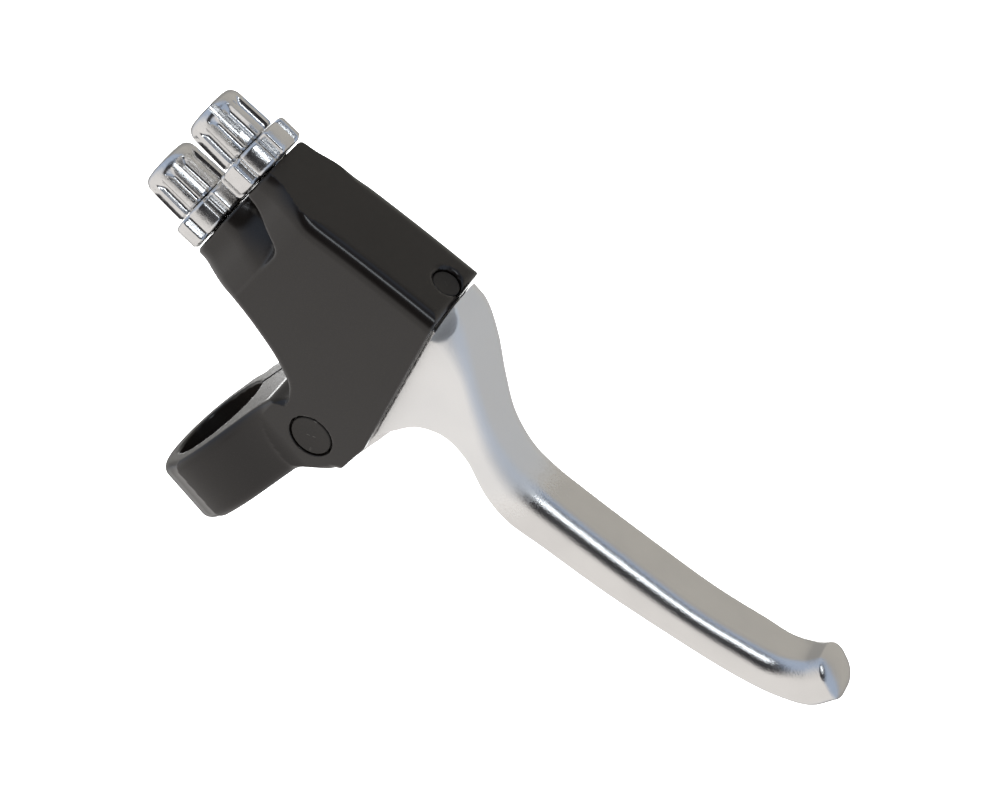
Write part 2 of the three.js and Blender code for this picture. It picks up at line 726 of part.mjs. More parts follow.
function equaliserBar() {
  const half = barrelSpacing / 2;
  const shape = new THREE.Shape();
  shape.absarc(0, half, equaliserEnd, 10 * degree, 170 * degree, false);
  shape.quadraticCurveTo(-equaliserWaist, half * 0.5, -equaliserWaist, 0);
  shape.quadraticCurveTo(-equaliserWaist, -half * 0.5, ...roundEnd(190, -half));
  shape.absarc(0, -half, equaliserEnd, 190 * degree, 350 * degree, false);
  shape.quadraticCurveTo(equaliserWaist, -half * 0.5, equaliserWaist, 0);
  shape.quadraticCurveTo(equaliserWaist, half * 0.5, ...roundEnd(10, half));
  const tall = equaliserHeight / 2;
  const bar = solid(plate(shape, -tall, tall));
  const hole = solid(barZ(equaliserPinRadius + runningGap, -tall - 1, tall + 1, 24));
  let cut = hole;
  for (const v of [-half, half]) {
    const seat = barZ(trunnionRadius + runningGap, -tall - 1, tall + 1, 32).translate(0, v, 0);
    const gate = block(-equaliserEnd - 1, 0, v - 1.6, v + 1.6, -tall - 1, tall + 1);
    cut = cut.add(solid(seat)).add(solid(gate));
  }
  return atEqualiser(bar.subtract(cut));
}

// A point on the round end of the equaliser, the angle in degrees.
function roundEnd(angle, v) {
  return [equaliserEnd * Math.cos(angle * degree), v + equaliserEnd * Math.sin(angle * degree)];
}

function equaliserPin() {
  const top = tongueHalf - 0.1;
  const foot = 0.1 - tongueHalf;
  const groove = washer(1.5, 3, foot + 0.15, foot + 0.15 + equaliserClipHeight + 0.1, 24);
  const shaft = solid(barZ(equaliserPinRadius, foot, top - 0.5, 24));
  const head = solid(barZ(equaliserHeadRadius, top - equaliserHeadHeight, top, 32));
  return shifted(shaft.add(head).subtract(groove), equaliserU, equaliserV, 0);
}

function equaliserClip() {
  const foot = 0.3 - tongueHalf;
  const ring = washer(1.7, equaliserHeadRadius, foot, foot + equaliserClipHeight, 24);
  const mouth = solid(block(-1.2, 1.2, -equaliserHeadRadius - 1, 0, foot - 1, foot + 1));
  return shifted(ring.subtract(mouth), equaliserU, equaliserV, 0);
}

// A barrel that holds a cable's end: drilled across for the wire, and slotted to drop it in.
function trunnion(side) {
  const tall = equaliserHeight / 2 + sideGap - 0.1;
  const barrel = solid(barZ(trunnionRadius, -tall, tall, 32));
  const drill = solid(barU(trunnionWire, -trunnionRadius - 1, trunnionRadius + 1, 0, 0, 16));
  const slot = solid(block(-trunnionRadius - 1, 0, -trunnionWire, trunnionWire, 0, tall + 1));
  const body = barrel.subtract(drill).subtract(slot);
  return atEqualiser(shifted(body, 0, (side * barrelSpacing) / 2, 0));
}

// ---- adjusters, along -U from the end face ----
const ringInner = -endFace - adjusterTravelGap;
const ringOuter = ringInner - ringLength;
const knobInner = ringOuter - adjusterTravelGap;
const knobOuter = knobInner - knobLength;

// One turned section about the U axis; radius is a function of the angle.
function turnedSection(u, v, radius, count) {
  const points = [];
  for (let i = 0; i < count; i += 1) {
    const angle = (i / count) * 360 * degree;
    const r = radius(angle);
    points.push(new THREE.Vector3(u, v + r * Math.cos(angle), r * Math.sin(angle) - barrelDrop));
  }
  return points;
}

// The knob's flutes are deepest beside the ring and fade out where the outer end rounds over.
function adjusterKnob(v) {
  const section = (along) => {
    const fromEnd = knobLength - along;
    const dome = fromEnd < knobDome ? 1 - (1 - fromEnd / knobDome) ** 2 : 1;
    const radius = socketRadius + 1 + (knobRadius - socketRadius - 1) * Math.sqrt(Math.max(dome, 0));
    const depth = fluteDepth * Math.min(1, Math.max(0, (fromEnd - 1.2) / 3));
    const flute = (angle) => depth * (0.5 + 0.5 * Math.cos(knobFlutes * angle)) ** 2;
    return turnedSection(knobInner - along, v, (angle) => radius - flute(angle), 48);
  };
  const sections = [0, 6.6, 8.4, 9.7, knobLength].map(section);
  return solid(new LoftGeometry(sections.reverse(), { capStart: true, capEnd: true }));
}

function adjuster(v, slotTurn) {
  const shankEnd = pocketEnd - 1;
  const shank = solid(barU(threadRadius, knobInner - 1, shankEnd, v, -barrelDrop));
  const socket = solid(barU(socketRadius, knobOuter - 1, knobOuter + socketDepth, v, -barrelDrop));
  const wire = solid(barU(wireHoleRadius, knobOuter, shankEnd + 1, v, -barrelDrop, 16));
  const half = slotWidth / 2;
  const slot = solid(
    block(knobOuter - 1, knobOuter + slotLength, 0, knobRadius + 1, -half, half)
      .rotateX(slotTurn)
      .translate(0, v, -barrelDrop),
  );
  return adjusterKnob(v).add(shank).subtract(socket).subtract(wire).subtract(slot);
}

// The ring's grip: broad lobes with a narrow groove between each two.
function lockRing(v) {
  const groove = (angle) => ringGrooveDepth * (0.5 + 0.5 * Math.cos(ringLobes * angle)) ** 6;
  const section = (u, inset) =>
    turnedSection(u, v, (angle) => ringRadius - inset - groove(angle) * (inset > 0 ? 0.6 : 1), 64);
  const sections = [
    section(ringOuter, ringChamfer),
    section(ringOuter + ringChamfer, 0),
    section(ringInner - ringChamfer, 0),
    section(ringInner, ringChamfer),
  ];
  const body = solid(new LoftGeometry(sections, { capStart: true, capEnd: true }));
  const hole = barU(threadRadius + runningGap, ringOuter - 1, ringInner + 1, v, -barrelDrop);
  return body.subtract(solid(hole));
}

// ---- blanking plug in the front wall ----
function holePlug() {
  const plug = barZ(plugRadius, -plugSink - plugLength, -plugSink - 0.3, 32);
  const face = barZ(plugRadius, -plugSink - 0.3, -plugSink, 32, plugRadius - 0.3);
  return solid(atPlug(plug)).add(solid(atPlug(face)));
}

// ---- assembly ----
const group = new THREE.Group();

// Adds a piece made in the plan frame.
function addInPlan(name, body, finish) {
  group.add(named(name, geometryOf(body).applyMatrix4(planToRow), finish));
}

addInPlan("body_casting", bodyCasting(), castBlack);
group.add(named("clamp_bolt", clampBolt(), blackSteel));
group.add(named("clamp_washer", clampWasher(), steel));
addInPlan("pivot_pin", pivotPin(), blackSteel);
addInPlan("pivot_washer", pivotWasher(), steel);
addInPlan("pivot_clip", pivotClip(), blackSteel);
addInPlan("lock_hole_plug", holePlug(), blackSteel);
addInPlan("rear_adjuster", adjuster(rearBarrelV, rearSlotTurn), castBright);
addInPlan("front_adjuster", adjuster(frontBarrelV, frontSlotTurn), castBright);
addInPlan("rear_lock_ring", lockRing(rearBarrelV), castBright);
addInPlan("front_lock_ring", lockRing(frontBarrelV), castBright);
addInPlan("lever", lever(), castBright);
addInPlan("pivot_bush", pivotBush(), brass);
addInPlan("upper_thrust_washer", thrustWasher(1), nylon);
addInPlan("lower_thrust_washer", thrustWasher(-1), nylon);
addInPlan("return_spring", returnSpring(), steel);
addInPlan("equaliser_pin", equaliserPin(), steel);
addInPlan("equaliser_clip", equaliserClip(), blackSteel);
addInPlan("equaliser", equaliserBar(), steel);
addInPlan("rear_cable_trunnion", trunnion(-1), brass);
addInPlan("front_cable_trunnion", trunnion(1), brass);

export default group;
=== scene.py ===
import math
import bpy
import numpy as np
from mathutils import Matrix, Vector


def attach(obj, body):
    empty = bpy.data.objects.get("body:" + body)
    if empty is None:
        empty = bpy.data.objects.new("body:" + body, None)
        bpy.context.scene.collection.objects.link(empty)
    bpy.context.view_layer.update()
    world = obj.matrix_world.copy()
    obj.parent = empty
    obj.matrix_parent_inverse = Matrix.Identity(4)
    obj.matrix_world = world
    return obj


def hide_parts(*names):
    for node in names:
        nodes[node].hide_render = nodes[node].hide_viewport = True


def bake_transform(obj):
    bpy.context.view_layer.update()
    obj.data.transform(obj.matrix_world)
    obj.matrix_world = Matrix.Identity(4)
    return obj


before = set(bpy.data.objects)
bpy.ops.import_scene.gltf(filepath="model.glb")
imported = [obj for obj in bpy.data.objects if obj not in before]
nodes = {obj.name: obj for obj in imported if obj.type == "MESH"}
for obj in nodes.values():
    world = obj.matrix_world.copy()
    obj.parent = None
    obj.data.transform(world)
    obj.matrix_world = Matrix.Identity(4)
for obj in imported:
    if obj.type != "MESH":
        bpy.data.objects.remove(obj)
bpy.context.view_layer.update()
print("stage: frame loaded")

# Lengths are in millimetres until a mesh is made. The plan frame (u, v, z) has its origin on the
# lever's pivot and u along the barrels; it is the row frame turned by splay and moved to the pivot.
layout = {
    "splay": math.radians(9.12),
    "pivotX": 2.84,
    "pivotY": 29.0,
    "barrelV": (16.87, 35.44),
    "barrelZ": -1.27,
    "endFace": -41.1,
    "halfHeight": 10.05,
    "mouthDistance": 10.5,
    "mouthTilt": math.radians(12.8),
    "boreRadius": 11.1,
    "clampRadius": 15.9,
    "halfClamp": 7.5,
}
cosSplay = math.cos(layout["splay"])
sinSplay = math.sin(layout["splay"])


def toRow(points):
    x = layout["pivotX"] + points[:, 0] * cosSplay - points[:, 1] * sinSplay
    y = layout["pivotY"] + points[:, 0] * sinSplay + points[:, 1] * cosSplay
    return np.stack([x, y, points[:, 2]], axis=1) / 1000


def smooth(t):
    t = np.clip(t, 0, 1)
    return t * t * (3 - 2 * t)


# A smooth curve through a few points: cubic pieces with slopes taken from the neighbours.
def curveThrough(x, xs, ys):
    xs = np.asarray(xs, float)
    ys = np.asarray(ys, float)
    step = np.diff(xs)
    rise = np.diff(ys) / step
    slope = np.empty_like(ys)
    slope[1:-1] = np.where(rise[:-1] * rise[1:] > 0, (rise[:-1] + rise[1:]) / 2, 0)
    slope[0] = rise[0]
    slope[-1] = rise[-1]
    x = np.clip(x, xs[0], xs[-1])
    i = np.clip(np.searchsorted(xs, x) - 1, 0, len(xs) - 2)
    h = step[i]
    t = (x - xs[i]) / h
    a = (1 + 2 * t) * (1 - t) ** 2 * ys[i] + t * (1 - t) ** 2 * h * slope[i]
    return a + t * t * (3 - 2 * t) * ys[i + 1] + t * t * (t - 1) * h * slope[i + 1]


# Where two solids meet with an outer rounding of that radius.
def roundMax(a, b, radius):
    inner = np.minimum(np.maximum(a, b), -radius)
    return inner + np.hypot(np.maximum(a + radius, 0), np.maximum(b + radius, 0))


# The join of two solids with a fillet of that radius in the corner.
def roundMin(a, b, radius):
    return -roundMax(-a, -b, radius)


# The mesh of a field's zero surface: one vertex in each cell that the surface crosses, one quad across
# each grid edge that it crosses, and every vertex then slid along the gradient onto the surface.
def meshOfField(name, field, low, high, step):
    axes = [np.arange(a, b + step, step) for a, b in zip(low, high)]
    grid = np.meshgrid(*axes, indexing="ij")
    value = field(grid[0], grid[1], grid[2])
    inside = value < 0
    shape = np.array(value.shape) - 1
    corners = [np.array(c) for c in np.ndindex(2, 2, 2)]
    total = np.zeros(tuple(shape) + (3,))
    count = np.zeros(tuple(shape))
    for axis in range(3):
        for corner in corners:
            if corner[axis]:
                continue
            other = corner.copy()
            other[axis] = 1
            a = value[tuple(slice(c, c + n) for c, n in zip(corner, shape))]
            b = value[tuple(slice(c, c + n) for c, n in zip(other, shape))]
            cross = (a < 0) != (b < 0)
            t = np.where(cross, a / np.where(cross, a - b, 1), 0)
            for k in range(3):
                total[..., k] += np.where(cross, corner[k] + (t if k == axis else 0), 0)
            count += cross
    used = count > 0
    index = np.full(tuple(shape), -1)
    index[used] = np.arange(used.sum())
    cell = np.argwhere(used)
    points = (cell + total[used] / count[used][:, None]) * step + np.array(low)
    quads = []
    for axis in range(3):
        b, c = [(1, 2), (2, 0), (0, 1)][axis]
        first = [slice(1, -1)] * 3
        first[axis] = slice(0, -1)
        second = [slice(1, -1)] * 3
        second[axis] = slice(1, None)
        one = inside[tuple(first)]
        two = inside[tuple(second)]
        for flip, mask in ((False, one & ~two), (True, ~one & two)):
            where = np.argwhere(mask)
            where[:, b] += 1
            where[:, c] += 1
            ring = []
            for db, dc in ((-1, -1), (0, -1), (0, 0), (-1, 0)):
                at = where.copy()
                at[:, b] += db
                at[:, c] += dc
                ring.append(index[at[:, 0], at[:, 1], at[:, 2]])
            quads.append(np.stack(ring[::-1] if flip else ring, axis=1))
    quads = np.concatenate(quads)
    reach = 0.02
    for turn in range(4):
        f, gradient = fieldGradient(field, points, reach)
        move = f / np.maximum((gradient**2).sum(1), 0.05)
        slide = gradient * move[:, None] * (0.9 if turn else 0.7)
        length = np.linalg.norm(slide, axis=1, keepdims=True)
        points = points - slide * np.minimum(1, 0.6 * step / np.maximum(length, 1e-9))
    normals = fieldGradient(field, points, 0.06)[1]
    normals /= np.maximum(np.linalg.norm(normals, axis=1, keepdims=True), 1e-9)
    obj = meshObject(name, toRow(points), quads)
    turned = toRow(normals) - toRow(np.zeros((1, 3)))
    turned /= np.linalg.norm(turned, axis=1, keepdims=True)
    obj.data.normals_split_custom_set_from_vertices(turned)
    return obj


def fieldGradient(field, points, reach):
    f = field(points[:, 0], points[:, 1], points[:, 2])
    gradient = np.empty_like(points)
    for k in range(3):
        ahead = points.copy()
        ahead[:, k] += reach
        back = points.copy()
        back[:, k] -= reach
        rise = field(ahead[:, 0], ahead[:, 1], ahead[:, 2]) - field(back[:, 0], back[:, 1], back[:, 2])
        gradient[:, k] = rise / (2 * reach)
    return f, gradient


def meshObject(name, points, faces):
    mesh = bpy.data.meshes.new(name)
    mesh.from_pydata(points.tolist(), [], faces.tolist() if hasattr(faces, "tolist") else faces)
    mesh.validate()
    mesh.polygons.foreach_set("use_smooth", np.ones(len(mesh.polygons), bool))
    obj = bpy.data.objects.new(name, mesh)
    bpy.context.scene.collection.objects.link(obj)
    return obj


housing = {
    "rearU": (-41.1, -38, -33.5, -29, -21, -14, -9.7, -6.5, 12),
    "rearV": (9.0, 9.0, 10.4, 12.1, 10.4, 7.7, 4.6, -1.5, -2),
    "frontAtPivot": 46.9,
    "frontTilt": math.radians(7.74),
    "frontCrown": 0.7,
    "snoutU": (-41.1, -38, -33.5, -29.5, -26),
    "snoutFront": (43.0, 43.2, 43.2, 43.15, 43.37),
    "snoutTop": (6.5, 6.7, 8.7, 9.95, 10.05),
    "snoutFoot": (-9.0, -9.2, -9.9, -10.05, -10.05),
    "frontTopRadius": 3.3,
    "frontFootRadius": (7.4, 7.0, 5.6, 4.2, 3.4),
    "rearRadius": (6.6, 6.2, 4.6, 3.0, 2.4),
    "lobeRadius": 8.8,
    "edge": 1.9,
    "neckEdge": 2.1,
    "lugDepth": 17.4,
    "lugReach": 21.4,
    "slitTilt": math.radians(15),
}


def frontLine(u):
    part = housing
    flat = part["frontAtPivot"] + u * math.tan(part["frontTilt"])
    return flat - part["frontCrown"] * ((u + 12) / 26) ** 2


def mouthPlane(u, v):
    tilt = layout["mouthTilt"]
    return u * math.cos(tilt) + v * math.sin(tilt) - layout["mouthDistance"]


# Across u the housing is a rounded rectangle whose sides and corner radii are curves of u.
def housingBlock(u, v, z):
    part = housing
    snout = part["snoutU"]
    blendIn = smooth((u + 33) / 7)
    front = np.where(u < -26, curveThrough(u, snout, part["snoutFront"]), 0)
    front = front * (1 - blendIn) + frontLine(u) * blendIn
    rear = curveThrough(u, part["rearU"], part["rearV"])
    top = curveThrough(u, snout, part["snoutTop"])
    foot = curveThrough(u, snout, part["snoutFoot"])
    rearRadius = curveThrough(u, snout, part["rearRadius"])
    footRadius = curveThrough(u, snout, part["frontFootRadius"])
    topRadius = part["frontTopRadius"] + 3.2 * (1 - smooth((u + 41) / 12))
    ahead = v - front
    behind = rear - v
    above = z - top
    below = foot - z
    upper = np.where(v > 26, roundMax(ahead, above, topRadius), roundMax(behind, above, rearRadius))
    lower = np.where(v > 26, roundMax(ahead, below, footRadius), roundMax(behind, below, rearRadius))
    return np.where(z > -1, upper, lower)


def clampShape(u, v, z):
    part = housing
    x = layout["pivotX"] + u * cosSplay - v * sinSplay
    y = layout["pivotY"] + u * sinSplay + v * cosSplay
    sides = np.abs(x) - layout["halfClamp"]
    radial = np.hypot(y, z)
    ring = radial - layout["clampRadius"]
    level = np.abs(z) - layout["halfHeight"]
    neck = np.maximum(level, np.maximum(4 - y, y - 27))
    lug = roundMax(-part["lugDepth"] - z, y - part["lugReach"], 3)
    lug = np.maximum(lug, np.maximum(3.5 - y, z + 8))
    upper = roundMin(ring, neck, 9)
    lower = roundMin(ring, lug, 2.5)
    body = np.minimum(upper, lower)
    body = roundMax(body, sides, part["neckEdge"])
    bore = roundMax(-(radial - layout["boreRadius"]), sides, 0.5)
    body = np.maximum(body, bore)
    fall = (y - 8.2) * math.tan(part["slitTilt"])
    slit = np.maximum(np.abs(z + 7.9 + fall) - 0.6, np.maximum(5 - y, y - part["lugReach"] - 0.8))
    body = np.maximum(body, -slit)
    bolt = np.hypot(x, y - 15.8)
    hole = np.maximum(bolt - 2.6, z - 4)
    counterbore = np.maximum(bolt - 4.4, z + 11.4)
    return np.maximum(body, -np.minimum(hole, counterbore))


# The hollow between the two bosses: a gentle fall from the rear boss to a steep wall beside the front
# one, deeper towards the end face, and closed by a rounded end.
def scoop(u, v, z, side):
    part = housing
    height = curveThrough(u, part["snoutU"], part["snoutTop"] if side > 0 else part["snoutFoot"])
    drop = (height - z) * side
    depth = 4.2 + 5.6 * smooth((-30 - u) / 12)
    across = np.clip((v - 22) / 9, 0, 1.3)
    gentle = drop - depth * across**2
    edge = 31.9 + 1.6 * np.clip((-31 - u) / 10, 0, 1)
    steep = (v - edge + 0.62 * np.maximum(drop, -1)) / 1.18
    ending = (u + 29.6 + 0.35 * np.maximum(drop, -1)) / 1.06
    wall = roundMax(steep, ending, 1.9)
    return roundMax(wall, gentle / 2, 0.6)


# The hollows in the body: the pocket, the window in the floor, the pivot hole and the barrel bores.
hollows = {
    "wall": 3.3,
    "pocketEnd": -27.2,
    "pocketNeck": -9.4,
    "pocketHalf": 6.65,
    "hubRoom": 7.6,
    "mouthSide": 12,
    "windowMiddle": (-19, 27.75),
    "windowHalf": (4, 9.25),
    "windowCorner": 3,
    "windowRoof": -6,
    "pinHole": 3.08,
    "headRadius": 4.85,
    "headDepth": 1.95,
    "clipRadius": 5.2,
    "clipDepth": 2.6,
    "barrelHole": 4.08,
    "barrelHoleEnd": -26,
    "plugU": -3.06,
    "plugSeat": 3.0,
}


def pocket(u, v, z):
    part = hollows
    rear = curveThrough(u, housing["rearU"], housing["rearV"]) + part["wall"]
    plan = np.maximum(rear - v, v - (frontLine(u) - part["wall"]))
    plan = np.maximum(plan, part["pocketEnd"] - u)
    plan = np.where(v < 8, np.maximum(plan, part["pocketNeck"] - u), plan)
    hub = np.hypot(u, v) - part["hubRoom"]
    openSide = np.maximum(-part["hubRoom"] - v, -u)
    openSide = np.maximum(openSide, v - part["mouthSide"])
    plan = np.minimum(np.minimum(plan, hub), openSide)
    return np.maximum(plan, np.abs(z) - part["pocketHalf"])


def windowHole(u, v, z):
    part = hollows
    middle, half = part["windowMiddle"], part["windowHalf"]
    plan = roundMax(np.abs(u - middle[0]) - half[0], np.abs(v - middle[1]) - half[1], part["windowCorner"])
    return np.maximum(plan, z - part["windowRoof"])


def drilled(u, v, z):
    part = hollows
    half = layout["halfHeight"]
    fromPivot = np.hypot(u, v)
    head = np.maximum(fromPivot - part["headRadius"], half - part["headDepth"] - z)
    clip = np.maximum(fromPivot - part["clipRadius"], z + half - part["clipDepth"])
    holes = np.minimum(fromPivot - part["pinHole"], np.minimum(head, clip))
    for barrel in layout["barrelV"]:
        bore = np.hypot(v - barrel, z - layout["barrelZ"]) - part["barrelHole"]
        holes = np.minimum(holes, np.maximum(bore, u - part["barrelHoleEnd"]))
    return holes


def plugSeat(u, v, z):
    tilt = housing["frontTilt"]
    fromPlug = u - hollows["plugU"]
    ahead = v - frontLine(hollows["plugU"])
    out = ahead * math.cos(tilt) - fromPlug * math.sin(tilt)
    along = fromPlug * math.cos(tilt) + ahead * math.sin(tilt)
    radial = np.hypot(along, z - layout["barrelZ"])
    return np.maximum(radial - hollows["plugSeat"] - np.maximum(out + 0.5, 0) * 1.1, -out - 5)


def bodyField(u, v, z):
    half = layout["halfHeight"]
    block = housingBlock(u, v, z)
    block = roundMax(block, layout["endFace"] - u, 0.9)
    mouth = np.maximum(mouthPlane(u, v), u - 9.0)
    block = roundMax(block, mouth, 0.35)
    block = np.maximum(block, roundMax(mouth, v - frontLine(u), 1.6))
    lobe = roundMax(np.hypot(u, v) - housing["lobeRadius"], np.abs(z) - half, housing["edge"])
    body = roundMin(block, lobe, 0.8)
    body = roundMin(body, clampShape(u, v, z), 3.2)
    x = layout["pivotX"] + u * cosSplay - v * sinSplay
    y = layout["pivotY"] + u * sinSplay + v * cosSplay
    body = np.maximum(body, layout["boreRadius"] - np.hypot(y, z))
    body = np.maximum(body, np.abs(z) - half - np.maximum(22.5 - y, 0) ** 2 / 14)
    for side in (1, -1):
        body = roundMax(body, -scoop(u, v, z, side), 0.5)
    body = roundMax(body, -pocket(u, v, z), 0.3)
    body = np.maximum(body, -windowHole(u, v, z))
    body = roundMax(body, -drilled(u, v, z), 0.2)
    return roundMax(body, -plugSeat(u, v, z), 0.25)


body = meshOfField("bodyShell", bodyField, (-43, -48, -19), (12.5, 49, 18), 0.46)
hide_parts("body_casting")
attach(body, "housing")
print("stage: body", len(body.data.polygons))


# Rows of section points joined into a skin, with each end closed by a fan to its middle.
def loftObject(name, sections, ringed=False):
    rows, columns, _ = sections.shape
    points = sections.reshape(-1, 3)
    i = np.arange(rows if ringed else rows - 1)[:, None]
    j = np.arange(columns)[None, :]
    after = (j + 1) % columns
    below = (i + 1) % rows
    quads = np.stack(np.broadcast_arrays(
        i * columns + j, i * columns + after, below * columns + after, below * columns + j
    ), axis=-1).reshape(-1, 4)
    faces = quads.tolist()
    if not ringed:
        points = np.vstack([points, sections[0].mean(0), sections[-1].mean(0)])
        first = rows * columns
        j = np.arange(columns)
        after = (j + 1) % columns
        start = np.stack([after, j, np.full(columns, first)], axis=1)
        last = (rows - 1) * columns
        end = np.stack([last + j, last + after, np.full(columns, first + 1)], axis=1)
        faces += start.tolist() + end.tolist()
    obj = meshObject(name, points, faces)
    faceOutward(obj)
    return obj


def faceOutward(obj):
    mesh = obj.data
    mesh.calc_loop_triangles()
    corner = np.empty(len(mesh.loop_triangles) * 3, np.int32)
    mesh.loop_triangles.foreach_get("vertices", corner)
    co = np.empty(len(mesh.vertices) * 3)
    mesh.vertices.foreach_get("co", co)
    tri = co.reshape(-1, 3)[corner.reshape(-1, 3)]
    volume = np.einsum("ij,ij->i", tri[:, 0], np.cross(tri[:, 1], tri[:, 2])).sum()
    if volume < 0:
        mesh.flip_normals()


# Sharp edges wherever two faces meet at more than that angle.
def crease(obj, angle=32):
    obj.data.set_sharp_from_angle(angle=math.radians(angle))
    return obj


# A closed profile of (along, radius) turned about a line; radius may also swell or dip with the angle.
def turnedObject(name, along, radius, place, angles, closed=True):
    turn = np.asarray(angles)[None, :]
    r = radius if radius.ndim == 2 else np.repeat(radius[:, None], len(angles), axis=1)
    a = np.repeat(np.asarray(along)[:, None], len(angles), axis=1)
    sections = place(a, r * np.cos(turn), r * np.sin(turn))
    return loftObject(name, sections, ringed=closed)


# Places along, across and up in the plan frame about a barrel's axis, along pointing inboard.
def aboutBarrel(barrel):
    def place(a, p, q):
        points = np.stack([a, barrel + p, layout["barrelZ"] + q], axis=-1)
        return toRow(points.reshape(-1, 3)).reshape(points.shape)

    return place


def aboutPivot(a, p, q):
    points = np.stack([p, q, a], axis=-1)
    return toRow(points.reshape(-1, 3)).reshape(points.shape)


# A smooth curve through points, with each stretch given the same number of samples.
def splinePoints(points, count):
    p = np.asarray(points, float)
    padded = np.vstack([2 * p[0] - p[1], p, 2 * p[-1] - p[-2]])
    t = np.linspace(0, len(p) - 1, count)
    i = np.minimum(t.astype(int), len(p) - 2)
    t = (t - i)[:, None]
    a, b, c, d = (padded[i + k] for k in range(4))
    gap = [np.sqrt(np.linalg.norm(n - m, axis=1, keepdims=True)) for m, n in ((a, b), (b, c), (c, d))]
    ahead = ((b - a) / gap[0] - (c - a) / (gap[0] + gap[1]) + (c - b) / gap[1]) * gap[1]
    behind = ((c - b) / gap[1] - (d - b) / (gap[1] + gap[2]) + (d - c) / gap[2]) * gap[1]
    square = -3 * b + 3 * c - 2 * ahead - behind
    cube = 2 * b - 2 * c + ahead + behind
    return b + ahead * t + square * t**2 + cube * t**3


lever = {
    # rear u, rear v, front u, front v, half height, and the radii of the four long edges:
    # top front, top rear, lower rear, lower front
    "stations": (
        (8.85, 10.9, 0.85, 46.3, 8.2, 5.6, 0.9, 1.6, 4.0),
        (10.5, 15.6, 4.6, 45.7, 8.2, 5.0, 1.0, 1.8, 4.0),
        (12.9, 20.3, 10.9, 41.6, 7.9, 3.4, 1.2, 2.0, 3.6),
        (17.6, 22.7, 18, 35.5, 7.3, 3.2, 1.5, 2.4, 3.4),
        (23.8, 21.8, 25.2, 30.2, 6.8, 3.5, 1.7, 2.6, 3.4),
        (31.9, 18, 32.6, 27.4, 6.75, 4.2, 1.9, 2.8, 3.6),
        (38.4, 16.8, 38.2, 27.3, 6.75, 5.5, 2.0, 3.0, 3.8),
        (47.5, 18.5, 46, 28.3, 6.75, 5.5, 2.0, 3.0, 3.8),
        (62, 21.4, 59.4, 30.5, 6.75, 5.5, 2.0, 3.0, 3.8),
        (79.6, 26, 76.8, 33.9, 6.6, 5.3, 2.0, 3.0, 3.7),
        (90.5, 29.3, 87.2, 37.2, 6.5, 5.0, 2.2, 3.0, 3.7),
        (99, 32.4, 93, 39.4, 6.2, 4.2, 3.0, 3.4, 3.9),
        (105.2, 36.7, 96.4, 42.8, 5.9, 4.2, 3.8, 4.0, 4.2),
        (107.2, 41.6, 97.8, 45.8, 5.3, 4.2, 4.2, 4.2, 4.2),
    ),
    "rows": 230,
    "capRows": 22,
    "tipRise": 2.3,
    # the dish in the front corner beside the mouth: its place, the way it faces, radius, depth, and
    # its reach along the lever as a share of its reach across
    "dishPlace": (1.3, 44.4, 6.3),
    "dishNormal": (-0.1, 0.72, 0.69),
    "dishRadius": 14,
    "dishDepth": 1.9,
    "dishShare": 0.55,
}


# Sections of the lever: a rectangle across it whose four corners have their own radii.
def leverSections():
    data = np.asarray(lever["stations"])
    rows = lever["rows"]
    rear = splinePoints(np.column_stack([data[:, :2], np.zeros(len(data))]), rows)
    front = splinePoints(np.column_stack([data[:, 2:4], np.zeros(len(data))]), rows)
    place = np.linspace(0, len(data) - 1, rows)
    girth = [curveThrough(place, np.arange(len(data)), data[:, k]) for k in range(4, 9)]
    girth = np.column_stack(girth)
    middle = (rear[-1] + front[-1]) / 2
    across = front[-1] - rear[-1]
    ahead = np.array([-across[1], across[0], 0]) / np.linalg.norm(across)
    ahead = ahead if ahead[1] > 0 else -ahead
    angle = np.linspace(0, math.pi / 2, lever["capRows"] + 1)[1:-1, None]
    arm = (front[-1] - middle) * np.cos(angle)
    centre = middle + ahead * lever["tipRise"] * np.sin(angle)
    rear = np.vstack([rear, centre - arm])
    front = np.vstack([front, centre + arm])
    girth = np.vstack([girth, girth[-1] * np.cos(angle)])
    return rear, front, girth


def leverSurface():
    rear, front, girth = leverSections()
    across = front - rear
    width = np.linalg.norm(across, axis=1)[:, None] / 2
    across = across / (2 * width)
    middle = (rear + front) / 2
    half = girth[:, :1]
    corners = []
    for quarter in range(4):
        limit = np.minimum(width, half) * 0.96
        radius = np.minimum(girth[:, quarter + 1][:, None], limit)
        if quarter in (0, 3):
            radius = np.minimum(radius, width * 0.96)
        turn = (quarter + np.linspace(0, 1, 15)[None, :]) * math.pi / 2
        sideA = 1 if quarter in (0, 3) else -1
        sideZ = 1 if quarter < 2 else -1
        a = sideA * (width - radius) + radius * np.cos(turn)
        z = sideZ * (half - radius) + radius * np.sin(turn)
        corners.append((a, z))
    ringA = []
    ringZ = []
    for quarter in range(4):
        a, z = corners[quarter]
        nextA, nextZ = corners[(quarter + 1) % 4]
        t = np.linspace(0, 1, 9)[None, 1:-1]
        ringA += [a, a[:, -1:] * (1 - t) + nextA[:, :1] * t]
        ringZ += [z, z[:, -1:] * (1 - t) + nextZ[:, :1] * t]
    a = np.hstack(ringA)
    z = np.hstack(ringZ)
    points = middle[:, None, :] + across[:, None, :] * a[..., None]
    points[..., 2] = z
    squeeze = np.array([lever["dishShare"], 1, 1])
    reach = lever["dishRadius"] - lever["dishDepth"]
    centre = np.array(lever["dishNormal"]) * reach + lever["dishPlace"]
    offset = (points - centre) / squeeze
    away = np.linalg.norm(offset, axis=-1, keepdims=True)
    points = centre + offset * squeeze * np.maximum(1, lever["dishRadius"] / away)
    return toRow(points.reshape(-1, 3)).reshape(points.shape)


